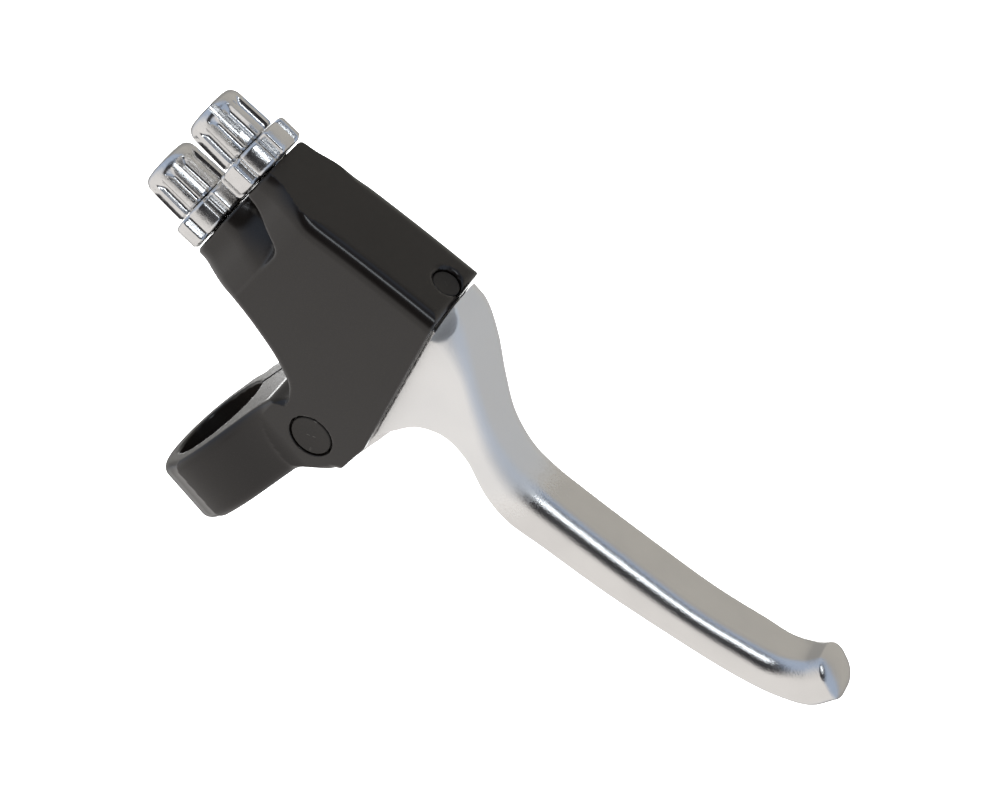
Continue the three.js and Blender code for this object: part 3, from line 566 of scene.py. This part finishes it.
# Signed distance in the plane to a closed outline.
def outlineDistance(u, v, outline):
    p = np.asarray(outline, float)
    q = np.roll(p, -1, axis=0)
    best = np.full(u.shape, 1e9)
    inside = np.zeros(u.shape, bool)
    for (au, av), (bu, bv) in zip(p, q):
        eu, ev = bu - au, bv - av
        t = np.clip(((u - au) * eu + (v - av) * ev) / (eu * eu + ev * ev), 0, 1)
        best = np.minimum(best, (u - au - eu * t) ** 2 + (v - av - ev * t) ** 2)
        crosses = (av > v) != (bv > v)
        inside ^= crosses & (u < au + eu * (v - av) / (ev if ev else 1e-9))
    return np.where(inside, -1, 1) * np.sqrt(best)


tongue = {
    "outline": (
        (-3.3, 5.72), (-6.6, 0), (-4.7, -4.7), (2.26, -6.2), (8.0, -2.6), (9.5, -1), (9.6, 0.6), (10.1, 7),
        (10.6, 14.7), (4.62, 41.0), (0, 41.4), (-4.6, 40), (-13.4, 29.5), (-13.9, 26), (-13.0, 22.8),
    ),
    "half": 5.85,
    "springRoom": 12.4,
    "springCeiling": -1.9,
}


def tongueField(u, v, z):
    fromPivot = np.hypot(u, v)
    plan = np.minimum(outlineDistance(u, v, tongue["outline"]), fromPivot - 6.6)
    shape = roundMax(plan, np.abs(z) - tongue["half"], 0.4)
    room = np.maximum(fromPivot - tongue["springRoom"], z - tongue["springCeiling"])
    room = np.maximum(room, 5.2 - fromPivot)
    shape = np.maximum(shape, -room)
    shape = np.maximum(shape, 4.73 - fromPivot)
    fromPin = np.hypot(u + 8, v - 26.155)
    slot = np.maximum(fromPin - 14.28, np.abs(z - layout["barrelZ"]) - 2.7)
    ends = np.maximum(fromPin - 3.4, 4.35 - np.abs(z + 0.35))
    hole = np.minimum(fromPin - 2.08, ends)
    leg = np.maximum(np.hypot(u - 7.2, v - 6.1) - 0.9, z - 0.7)
    return roundMax(shape, -np.minimum(np.minimum(slot, hole), leg), 0.2)


blade = crease(loftObject("leverBlade", leverSurface()), 50)
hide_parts("lever")
tongueShell = meshOfField("leverTongue", tongueField, (-15.5, -8.5, -7), (13, 43, 7), 0.42)
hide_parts("lever")
for piece in (blade, tongueShell):
    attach(piece, "hand_lever")
print("stage: lever")

knob = {
    "inner": -47.2,
    "length": 10.4,
    "radius": 6.35,
    "endRadius": 5.4,
    "flutes": 12,
    "fluteDepth": 1.0,
    "threadRadius": 4.0,
    "threadPitch": 1.25,
    "threadDepth": 0.42,
    "shankEnd": -28.2,
    "slotHalf": 0.85,
    "slotLength": 7.6,
    "slotAngle": {"front": math.radians(38), "rear": math.radians(218)},
}


# The knob's skin runs from the shank's inner end out along the thread, over the grip, round the outer
# end, and back through the socket and the wire's hole.
def knobSurface(which, barrel):
    part = knob
    turn = part["slotAngle"][which]
    angles = np.linspace(0, 2 * math.pi, 361)[:-1] + turn
    local = angles - turn
    local = np.where(local > math.pi, local - 2 * math.pi, local)
    inner, length = part["inner"], part["length"]
    outer = inner - length
    threadA = np.linspace(part["shankEnd"], inner, 120)
    gripA = np.linspace(inner, outer, 64)
    fromEnd = gripA - outer
    taper = part["radius"] - 0.25 * smooth((length - fromEnd) / length)
    dome = np.sqrt(np.clip(1 - (1 - np.clip(fromEnd / 2.4, 0, 1)) ** 2, 0, 1))
    gripR = part["endRadius"] - 1.3 + (taper - part["endRadius"] + 1.3) * dome
    gripR = np.where(fromEnd > length - 0.5, gripR - 0.5 * (fromEnd - length + 0.5), gripR)
    rows = []
    for a in threadA:
        phase = (a / part["threadPitch"] - angles / (2 * math.pi)) % 1
        crest = np.clip(1.6 * np.abs(2 * phase - 1) - 0.3, 0, 1)
        rows.append(part["threadRadius"] - part["threadDepth"] * (1 - crest))
    grip = []
    for a, r, e in zip(gripA, gripR, fromEnd):
        depth = part["fluteDepth"] * smooth((e - 1.5) / 2.6)
        phase = np.abs((local * part["flutes"] / (2 * math.pi) + 0.5) % 1 - 0.5) * 2
        trough = np.sqrt(np.clip(1 - ((1 - phase) / 0.62) ** 2, 0, 1))
        grip.append(r - depth * trough)
    grip = np.array(grip)
    inSlot = np.abs(np.sin(local)) * part["radius"] < part["slotHalf"]
    inSlot &= np.cos(local) > 0
    slotted = (fromEnd < part["slotLength"])[:, None] & inSlot[None, :]
    grip = np.where(slotted, 2.76, grip)
    tailA = [outer, outer + 0.25, outer + 9, outer + 9.3, part["shankEnd"]]
    tailR = [2.95, 2.7, 2.7, 1.3, 1.3]
    tail = np.repeat(np.array(tailR)[:, None], len(angles), axis=1)
    along = np.concatenate([threadA, gripA, tailA])
    radius = np.vstack([np.array(rows), grip, tail])
    return turnedObject(which + "Knob", along, radius, aboutBarrel(barrel), angles)


ring = {
    "inner": -41.4,
    "outer": -46.9,
    "radius": 8.49,
    "lobes": 8,
    "grooveDepth": 1.25,
    "grooveShare": 0.2,
    "edge": 0.9,
    "bore": 4.08,
}


def ringSurface(which, barrel, turn):
    part = ring
    angles = np.linspace(0, 2 * math.pi, 385)[:-1]
    phase = ((angles + turn) * part["lobes"] / (2 * math.pi)) % 1
    nearGroove = np.minimum(phase, 1 - phase) / part["grooveShare"]
    groove = part["grooveDepth"] * (1 - smooth(nearGroove)) ** 0.8
    bulge = 0.28 * (1 - (2 * np.abs(phase - 0.5)) ** 2)
    outer, inner, edge = part["outer"], part["inner"], part["edge"]
    t = np.linspace(0, math.pi / 2, 9)
    depth = edge * (1 - np.cos(t))
    rim = edge * (1 - np.sin(t))
    along = np.concatenate([[outer], outer + depth, inner - depth[::-1], [inner]])
    inset = np.concatenate([[edge * 1.9], rim, rim[::-1], [edge * 1.9]])
    skin = part["radius"] - 0.28 + bulge[None, :] - groove[None, :] - inset[:, None]
    bore = np.full((4, len(angles)), part["bore"])
    bore[0] += 0.5
    bore[3] += 0.5
    along = np.concatenate([along, [inner, inner - 0.5, outer + 0.5, outer]])
    radius = np.vstack([skin, bore])
    return turnedObject(which + "Ring", along, radius, aboutBarrel(barrel), angles)


for which, barrel, turn in (("rear", layout["barrelV"][0], 0.1), ("front", layout["barrelV"][1], 0.35)):
    piece = crease(knobSurface(which, barrel), 40)
    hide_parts(which + "_adjuster")
    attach(piece, which + "_barrel")
    piece = crease(ringSurface(which, barrel, turn), 45)
    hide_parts(which + "_lock_ring")
    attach(piece, which + "_ring")
print("stage: adjusters")

# The pin's flush head has a rounded rim, and its shaft runs down to the clip.
def pinSurface():
    t = np.linspace(0, math.pi / 2, 7)
    top = 9.9
    rimA = top - 0.35 * (1 - np.cos(t))
    rimR = 4.5 - 0.35 * (1 - np.sin(t))
    dishR = np.linspace(0.6, 4.05, 12)
    dishA = top - 0.12 * (1 - (dishR / 4.05) ** 2)
    shankA = [-9.75, -9.75, -9.2, -8.95, -8.95, -8.05, -8.05, 8.4, 8.4]
    shankR = [0.05, 2.6, 3.0, 3.0, 2.3, 2.3, 3.0, 3.0, 4.45]
    along = np.concatenate([shankA, rimA[::-1], dishA[::-1]])
    radius = np.concatenate([shankR, rimR[::-1], dishR[::-1]])
    angles = np.linspace(0, 2 * math.pi, 97)[:-1]
    return turnedObject("pivotHead", along, radius, aboutPivot, angles, closed=False)


# The plug's face is slightly dished and its rim is rounded; it stands on the front wall.
def plugSurface():
    tilt = housing["frontTilt"]
    foot = float(frontLine(hollows["plugU"]))
    t = np.linspace(0, math.pi / 2, 7)
    faceR = np.linspace(0.03, 2.5, 8)
    rim = 0.3 * (1 - np.cos(t[::-1]))
    face = 0.1 * (1 - (faceR[::-1] / 2.5) ** 2)
    along = np.concatenate([[-2.9, -2.9], -0.8 - rim, -0.8 - face])
    radius = np.concatenate([[0.03, 2.8], 2.85 - 0.3 * (1 - np.sin(t[::-1])), faceR[::-1]])

    def place(a, p, q):
        u = hollows["plugU"] + p * math.cos(tilt) - a * math.sin(tilt)
        v = foot + p * math.sin(tilt) + a * math.cos(tilt)
        points = np.stack([u, v, layout["barrelZ"] + q], axis=-1)
        return toRow(points.reshape(-1, 3)).reshape(points.shape)

    angles = np.linspace(0, 2 * math.pi, 73)[:-1]
    return turnedObject("holePlug", along, radius, place, angles, closed=False)


spring = {"wire": 0.6, "coil": 6.1, "turns": 2, "pitch": 1.26, "low": -5.15, "leg": 7.2}


# The wire's centre line: a hook down into the floor, two turns, and a hook up into the tongue.
def springSurface():
    part = spring
    low, coil, leg = part["low"], part["coil"], part["leg"]
    high = low + part["turns"] * part["pitch"]
    turn = np.linspace(0, part["turns"], 28 * part["turns"] + 1)
    angle = (0.25 - turn) * 2 * math.pi
    helix = np.column_stack([coil * np.cos(angle), coil * np.sin(angle), low + turn * part["pitch"]])
    start = [(-leg, coil, low - 2.9), (-leg, coil, low - 1.2), (-leg + 0.42, coil, low - 0.42),
             (-leg + 1.2, coil, low), (-leg / 2, coil, low)]
    end = [(leg / 2, coil, high), (leg - 1.2, coil, high), (leg - 0.42, coil, high + 0.42),
           (leg, coil, high + 1.2), (leg, coil, high + 2.2)]
    line = splinePoints(np.vstack([start, helix, end]), 620)
    ahead = np.gradient(line, axis=0)
    ahead /= np.linalg.norm(ahead, axis=1, keepdims=True)
    side = np.cross(ahead, np.array([0.02, 0.999, 0.04]))
    flat = np.cross(ahead, np.array([0, 0, 1.0]))
    steep = np.abs(ahead[:, 2:3]) > 0.5
    side = np.where(steep, side, flat)
    side /= np.linalg.norm(side, axis=1, keepdims=True)
    up = np.cross(side, ahead)
    angles = np.linspace(0, 2 * math.pi, 17)[:-1]
    skin = line[:, None] + part["wire"] * (
        side[:, None] * np.cos(angles)[None, :, None] + up[:, None] * np.sin(angles)[None, :, None]
    )
    return loftObject("springWire", toRow(skin.reshape(-1, 3)).reshape(skin.shape))


pin = crease(pinSurface(), 40)
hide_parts("pivot_pin")
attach(pin, "housing")
plug = crease(plugSurface(), 40)
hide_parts("lock_hole_plug")
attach(plug, "housing")
coil = springSurface()
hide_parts("return_spring")
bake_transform(coil)
print("stage: small pieces")


def newGroup(name, inputs, outputs):
    group = bpy.data.node_groups.new(name, "ShaderNodeTree")
    for kind, label, value in inputs:
        item = group.interface.new_socket(label, in_out="INPUT", socket_type="NodeSocket" + kind)
        if value is not None:
            item.default_value = value
    for kind, label in outputs:
        group.interface.new_socket(label, in_out="OUTPUT", socket_type="NodeSocket" + kind)
    return group, group.nodes.new("NodeGroupInput"), group.nodes.new("NodeGroupOutput")


# One value or one link for each named input of a new node.
def addNode(tree, kind, settings=None, **inputs):
    node = tree.nodes.new(kind)
    for key, value in (settings or {}).items():
        setattr(node, key, value)
    for key, value in inputs.items():
        numbered = key.startswith("in") and key[2:].isdigit()
        socket = node.inputs[int(key[2:]) if numbered else key.replace("_", " ")]
        if isinstance(value, bpy.types.NodeSocket):
            tree.links.new(value, socket)
        else:
            socket.default_value = value
    return node


def scaled(tree, value, low, high, to=(0, 1)):
    return addNode(tree, "ShaderNodeMapRange", {"clamp": True}, Value=value, From_Min=low, From_Max=high,
                   To_Min=to[0], To_Max=to[1]).outputs[0]


def math2(tree, operation, a, b):
    return addNode(tree, "ShaderNodeMath", {"operation": operation}, in0=a, in1=b).outputs[0]


def mixColors(tree, amount, first, second):
    mix = addNode(tree, "ShaderNodeMix", {"data_type": "RGBA"}, Factor=amount)
    for slot, value in ((6, first), (7, second)):
        if isinstance(value, bpy.types.NodeSocket):
            tree.links.new(value, mix.inputs[slot])
        else:
            mix.inputs[slot].default_value = (*value, 1)
    return mix.outputs[2]


# Marks that every surface shares: fine grain, broad patches, fine scratches, worn edges and dust.
def marksGroup():
    group, given, result = newGroup(
        "surfaceMarks",
        [("Vector", "Place", None), ("Float", "Grain Size", 2500.0), ("Float", "Patch Size", 60.0),
         ("Float", "Wear", 0.5)],
        [("Float", "Grain"), ("Float", "Patches"), ("Float", "Scratches"), ("Float", "Worn Edge"),
         ("Float", "Dust")],
    )
    place = given.outputs["Place"]
    grain = addNode(group, "ShaderNodeTexNoise", None, Vector=place, Scale=given.outputs["Grain Size"],
                    Detail=4.0, Roughness=0.6)
    patches = addNode(group, "ShaderNodeTexNoise", None, Vector=place, Scale=given.outputs["Patch Size"],
                      Detail=5.0, Roughness=0.55)
    stretched = addNode(group, "ShaderNodeVectorMath", {"operation": "MULTIPLY"}, in0=place,
                        in1=(160, 2200, 900))
    scratch = addNode(group, "ShaderNodeTexNoise", None, Vector=stretched.outputs[0], Scale=1.0, Detail=3.0,
                      Roughness=0.7)
    lines = scaled(group, scratch.outputs[0], 0.62, 0.72)
    shape = addNode(group, "ShaderNodeNewGeometry")
    edge = scaled(group, shape.outputs["Pointiness"], 0.53, 0.6)
    broken = math2(group, "MULTIPLY", edge, scaled(group, patches.outputs[0], 0.35, 0.6))
    worn = math2(group, "MULTIPLY", broken, given.outputs["Wear"])
    facing = addNode(group, "ShaderNodeSeparateXYZ", None, Vector=shape.outputs["Normal"])
    level = scaled(group, facing.outputs[2], 0.2, 1.0)
    specks = scaled(group, grain.outputs[0], 0.55, 0.75)
    dust = math2(group, "MULTIPLY", level, specks)
    for label, socket in (("Grain", grain.outputs[0]), ("Patches", patches.outputs[0]), ("Scratches", lines),
                          ("Worn Edge", worn), ("Dust", dust)):
        group.links.new(socket, result.inputs[label])
    return group


marks = marksGroup()


# A finish: two base colours mixed by patches, worn and dusty places, a roughness range, and the height
# of the grain and of the scratches.
def makeFinish(name, look):
    material = bpy.data.materials.new(name)
    material.use_nodes = True
    tree = material.node_tree
    tree.nodes.clear()
    place = tree.nodes.new("ShaderNodeTexCoord").outputs["Object"]
    shared = tree.nodes.new("ShaderNodeGroup")
    shared.node_tree = marks
    tree.links.new(place, shared.inputs["Place"])
    shared.inputs["Grain Size"].default_value = look["grainSize"]
    shared.inputs["Patch Size"].default_value = look["patchSize"]
    shared.inputs["Wear"].default_value = look["wear"]
    grain, patches, scratches, worn, dust = (shared.outputs[i] for i in range(5))
    base = mixColors(tree, scaled(tree, patches, 0.3, 0.7), look["color"], look["second"])
    base = mixColors(tree, worn, base, look["wornColor"])
    dusty = math2(tree, "MULTIPLY", dust, look["dust"])
    color = mixColors(tree, dusty, base, (0.55, 0.52, 0.47))
    rough = scaled(tree, patches, 0.3, 0.7, look["rough"])
    rough = math2(tree, "ADD", rough, math2(tree, "MULTIPLY", scratches, look["scratch"]))
    rough = math2(tree, "ADD", rough, math2(tree, "MULTIPLY", dusty, 0.3))
    if "satin" in look:
        part = look["satin"]
        away = addNode(tree, "ShaderNodeVectorMath", {"operation": "DISTANCE"}, in0=place, in1=part["middle"])
        ragged = math2(tree, "ADD", away.outputs["Value"], scaled(tree, grain, 0.3, 0.7, (-0.0022, 0.0022)))
        satin = scaled(tree, ragged, *part["reach"], (1, 0))
        rough = math2(tree, "ADD", rough, math2(tree, "MULTIPLY", satin, part["rough"]))
        lighter = math2(tree, "MULTIPLY", satin, part["lighter"])
        color = mixColors(tree, lighter, base, (0.95, 0.945, 0.935))
    grainHeight = math2(tree, "MULTIPLY", grain, look["grainHeight"])
    scratchHeight = math2(tree, "MULTIPLY", scratches, -look["scratchHeight"])
    height = math2(tree, "ADD", grainHeight, scratchHeight)
    bump = addNode(tree, "ShaderNodeBump", None, Height=height, Strength=1.0, Distance=0.00002)
    shader = tree.nodes.new("ShaderNodeBsdfPrincipled")
    shader.inputs["Metallic"].default_value = look["metal"]
    shader.inputs["Specular IOR Level"].default_value = look.get("sheen", 0.5)
    shader.inputs["Coat Weight"].default_value = look.get("coat", 0)
    shader.inputs["Coat Roughness"].default_value = look.get("coatRough", 0.25)
    tree.links.new(color, shader.inputs["Base Color"])
    tree.links.new(rough, shader.inputs["Roughness"])
    tree.links.new(bump.outputs[0], shader.inputs["Normal"])
    out = tree.nodes.new("ShaderNodeOutputMaterial")
    tree.links.new(shader.outputs[0], out.inputs[0])
    return material


finishes = {
    "castBlack": {
        "color": (0.0105, 0.0074, 0.0058), "second": (0.0145, 0.011, 0.009), "wornColor": (0.06, 0.054, 0.05),
        "rough": (0.36, 0.44), "metal": 0.0, "coat": 0.68, "coatRough": 0.14, "sheen": 0.16,
        "grainSize": 5200.0, "patchSize": 70.0,
        "grainHeight": 0.5, "scratch": 0.05, "scratchHeight": 0.15, "wear": 0.35, "dust": 0.02,
    },
    "blackSteel": {
        "color": (0.022, 0.02, 0.018), "second": (0.034, 0.03, 0.027), "wornColor": (0.2, 0.19, 0.18),
        "rough": (0.4, 0.52), "metal": 0.35, "grainSize": 4200.0, "patchSize": 220.0,
        "grainHeight": 0.6, "scratch": 0.08, "scratchHeight": 0.3, "wear": 0.9, "dust": 0.03,
    },
    "steel": {
        "color": (0.62, 0.63, 0.64), "second": (0.54, 0.55, 0.56), "wornColor": (0.8, 0.8, 0.8),
        "rough": (0.24, 0.36), "metal": 1.0, "grainSize": 3000.0, "patchSize": 180.0,
        "grainHeight": 0.4, "scratch": 0.1, "scratchHeight": 0.5, "wear": 0.5, "dust": 0.03,
    },
    "castBright": {
        "color": (0.80, 0.795, 0.79), "second": (0.70, 0.695, 0.69), "wornColor": (0.9, 0.9, 0.9),
        "rough": (0.14, 0.27), "metal": 1.0, "grainSize": 1400.0, "patchSize": 260.0,
        "grainHeight": 2.6, "scratch": 0.06, "scratchHeight": 0.3, "wear": 0.6, "dust": 0.02,
    },
    "polished": {
        "color": (0.78, 0.77, 0.757), "second": (0.73, 0.72, 0.71), "wornColor": (0.84, 0.84, 0.84),
        "rough": (0.18, 0.25), "metal": 1.0, "grainSize": 2600.0, "patchSize": 90.0,
        "grainHeight": 2.2, "scratch": 0.05, "scratchHeight": 0.2, "wear": 0.4, "dust": 0.01,
        "satin": {"middle": (0.003, 0.062, 0), "reach": (0.0305, 0.036), "rough": 0.42, "lighter": 1.0},
    },
    "brass": {
        "color": (0.71, 0.52, 0.26), "second": (0.6, 0.42, 0.2), "wornColor": (0.85, 0.7, 0.42),
        "rough": (0.25, 0.4), "metal": 1.0, "grainSize": 3000.0, "patchSize": 200.0,
        "grainHeight": 0.5, "scratch": 0.1, "scratchHeight": 0.5, "wear": 0.5, "dust": 0.02,
    },
    "nylon": {
        "color": (0.8, 0.77, 0.68), "second": (0.74, 0.7, 0.6), "wornColor": (0.85, 0.83, 0.76),
        "rough": (0.45, 0.6), "metal": 0.0, "grainSize": 2600.0, "patchSize": 160.0,
        "grainHeight": 0.8, "scratch": 0.05, "scratchHeight": 0.3, "wear": 0.3, "dust": 0.03,
    },
}
materials = {name: makeFinish(name, look) for name, look in finishes.items()}


def wear(obj, name):
    obj.data.materials.clear()
    obj.data.materials.append(materials[name])


for obj, name in (
    (body, "castBlack"), (blade, "polished"), (tongueShell, "castBright"), (pin, "blackSteel"),
    (plug, "blackSteel"), (coil, "steel"),
):
    wear(obj, name)
for which in ("rearKnob", "frontKnob", "rearRing", "frontRing"):
    wear(bpy.data.objects[which], "castBright")
for name, finish in (
    ("clamp_bolt", "blackSteel"), ("clamp_washer", "steel"), ("pivot_washer", "steel"),
    ("pivot_clip", "blackSteel"), ("pivot_bush", "brass"), ("upper_thrust_washer", "nylon"),
    ("lower_thrust_washer", "nylon"), ("equaliser_pin", "steel"), ("equaliser_clip", "blackSteel"),
    ("equaliser", "steel"), ("rear_cable_trunnion", "brass"), ("front_cable_trunnion", "brass"),
):
    wear(nodes[name], finish)
print("stage: materials")

studio = {
    "floorLevel": -0.8,
    "floorWhite": (0.93, 0.93, 0.93),
    "floorFront": (0.43, 0.42, 0.4),
    "floorSide": (0.34, 0.335, 0.325),
    "sheetMargin": 0.01,
    "sheetEdge": 0.06,
    "floorGlow": 0.66,
    "rearTop": (0.222, -0.681, 0.697),
    "rearColor": (0.9, 0.874, 0.85),
    "frontColor": (0.44, 0.52, 0.66),
    "darkColor": (0.025, 0.024, 0.026),
    "stripPlace": (-0.2, 0.74, 0.37),
    "stripAim": (0.0, 0.04, 0),
    "stripSize": (0.4, 0.14),
    "stripPower": 0.8,
    "stripColor": (0.88, 0.94, 1.0),
    "focalLength": 82.82,
    "camera": (-0.0804, 0.3664, 0.3074),
    "right": (0.623, 0.649, -0.436),
    "up": (-0.750, 0.338, -0.569),
    "back": (-0.222, 0.681, 0.697),
}


# The four lines on the floor that bound what the camera sees: a point on each and its outward normal.
def sheetLines():
    place, right, up, back = (np.array(studio[key]) for key in ("camera", "right", "up", "back"))
    corners = []
    for across, along in ((-0.5, -0.4), (0.5, -0.4), (0.5, 0.4), (-0.5, 0.4)):
        ray = right * across + up * along - back * studio["focalLength"] / 36
        corners.append(place + ray * (studio["floorLevel"] - place[2]) / ray[2])
    middle = np.mean(corners, axis=0)
    lines = []
    for start, end in zip(corners, corners[1:] + corners[:1]):
        normal = np.cross(end - start, (0, 0, 1))
        normal /= np.linalg.norm(normal)
        lines.append((start, normal if normal @ (start - middle) > 0 else -normal))
    return lines


# The floor is pale grey, with a soft-edged white sheet over the part that the camera sees, and it glows with
# these colours though it is no lamp: painted light.
def makeFloor():
    rings = np.linspace(0, 1, 40)[1:] ** 2 * 3
    angles = np.linspace(0, 2 * math.pi, 97)[:-1]
    x = rings[:, None] * np.cos(angles)
    y = rings[:, None] * np.sin(angles)
    z = np.full_like(x, studio["floorLevel"])
    obj = loftObject("studioFloor", np.stack([x, y, z], axis=-1))
    material = bpy.data.materials.new("paleFloor")
    material.use_nodes = True
    tree = material.node_tree
    shader = tree.nodes["Principled BSDF"]
    place = tree.nodes.new("ShaderNodeTexCoord").outputs["Object"]
    near = 1
    for start, normal in sheetLines():
        out = addNode(tree, "ShaderNodeVectorMath", {"operation": "DOT_PRODUCT"}, in0=place, in1=normal)
        limit = float(start @ normal) + studio["sheetMargin"]
        inside = scaled(tree, out.outputs["Value"], limit, limit + studio["sheetEdge"], (1, 0))
        near = math2(tree, "MULTIPLY", inside, near)
    ahead = addNode(tree, "ShaderNodeSeparateXYZ", None, Vector=place).outputs["Y"]
    around = mixColors(tree, scaled(tree, ahead, -0.2, 0.1), studio["floorSide"], studio["floorFront"])
    noise = addNode(tree, "ShaderNodeTexNoise", None, Vector=place, Scale=6.0, Detail=3.0)
    pale = mixColors(tree, noise.outputs[0], studio["floorWhite"], (0.91, 0.91, 0.91))
    color = mixColors(tree, near, around, pale)
    tree.links.new(color, shader.inputs["Base Color"])
    # painted light: the floor's white sheet and grey surround glow by emission, standing in for light falling
    # on them
    tree.links.new(color, shader.inputs["Emission Color"])
    shader.inputs["Emission Strength"].default_value = studio["floorGlow"]
    shader.inputs["Roughness"].default_value = 0.9
    obj.data.materials.append(material)


def makeStrip():
    data = bpy.data.lights.new("frontStrip", "AREA")
    data.shape = "RECTANGLE"
    data.size, data.size_y = studio["stripSize"]
    data.energy = studio["stripPower"]
    data.color = studio["stripColor"]
    obj = bpy.data.objects.new("frontStrip", data)
    bpy.context.scene.collection.objects.link(obj)
    obj.location = studio["stripPlace"]
    direction = Vector(studio["stripAim"]) - Vector(studio["stripPlace"])
    obj.rotation_euler = direction.to_track_quat("-Z", "Y").to_euler()


# The room is white behind and above the object, blue-grey ahead of it, and dark where it is seen from.
def makeWorld():
    world = bpy.data.worlds.new("softStudio")
    bpy.context.scene.world = world
    world.use_nodes = True
    tree = world.node_tree
    direction = tree.nodes.new("ShaderNodeTexCoord").outputs["Generated"]
    unit = addNode(tree, "ShaderNodeVectorMath", {"operation": "NORMALIZE"}, in0=direction).outputs[0]
    toRear = addNode(tree, "ShaderNodeVectorMath", {"operation": "DOT_PRODUCT"}, in0=unit,
                     in1=studio["rearTop"]).outputs["Value"]
    toView = addNode(tree, "ShaderNodeVectorMath", {"operation": "DOT_PRODUCT"}, in0=unit,
                     in1=studio["back"]).outputs["Value"]
    color = mixColors(tree, scaled(tree, toRear, 0.1, 0.6), studio["frontColor"], studio["rearColor"])
    color = mixColors(tree, scaled(tree, toView, 0.66, 0.87), color, studio["darkColor"])
    background = tree.nodes["Background"]
    tree.links.new(color, background.inputs[0])
    background.inputs[1].default_value = 1.0


def makeCamera():
    data = bpy.data.cameras.new("camera")
    data.sensor_width = 36
    data.lens = studio["focalLength"]
    data.clip_start = 0.01
    obj = bpy.data.objects.new("camera", data)
    bpy.context.scene.collection.objects.link(obj)
    back = Vector(studio["back"]).normalized()
    right = Vector(studio["right"])
    right = (right - back * right.dot(back)).normalized()
    up = back.cross(right)
    turn = Matrix((right, up, back)).transposed().to_4x4()
    obj.matrix_world = Matrix.Translation(Vector(studio["camera"])) @ turn
    bpy.context.scene.camera = obj


makeFloor()
makeWorld()
makeStrip()
makeCamera()
bpy.context.scene.view_settings.view_transform = "Standard"
print("stage: studio")
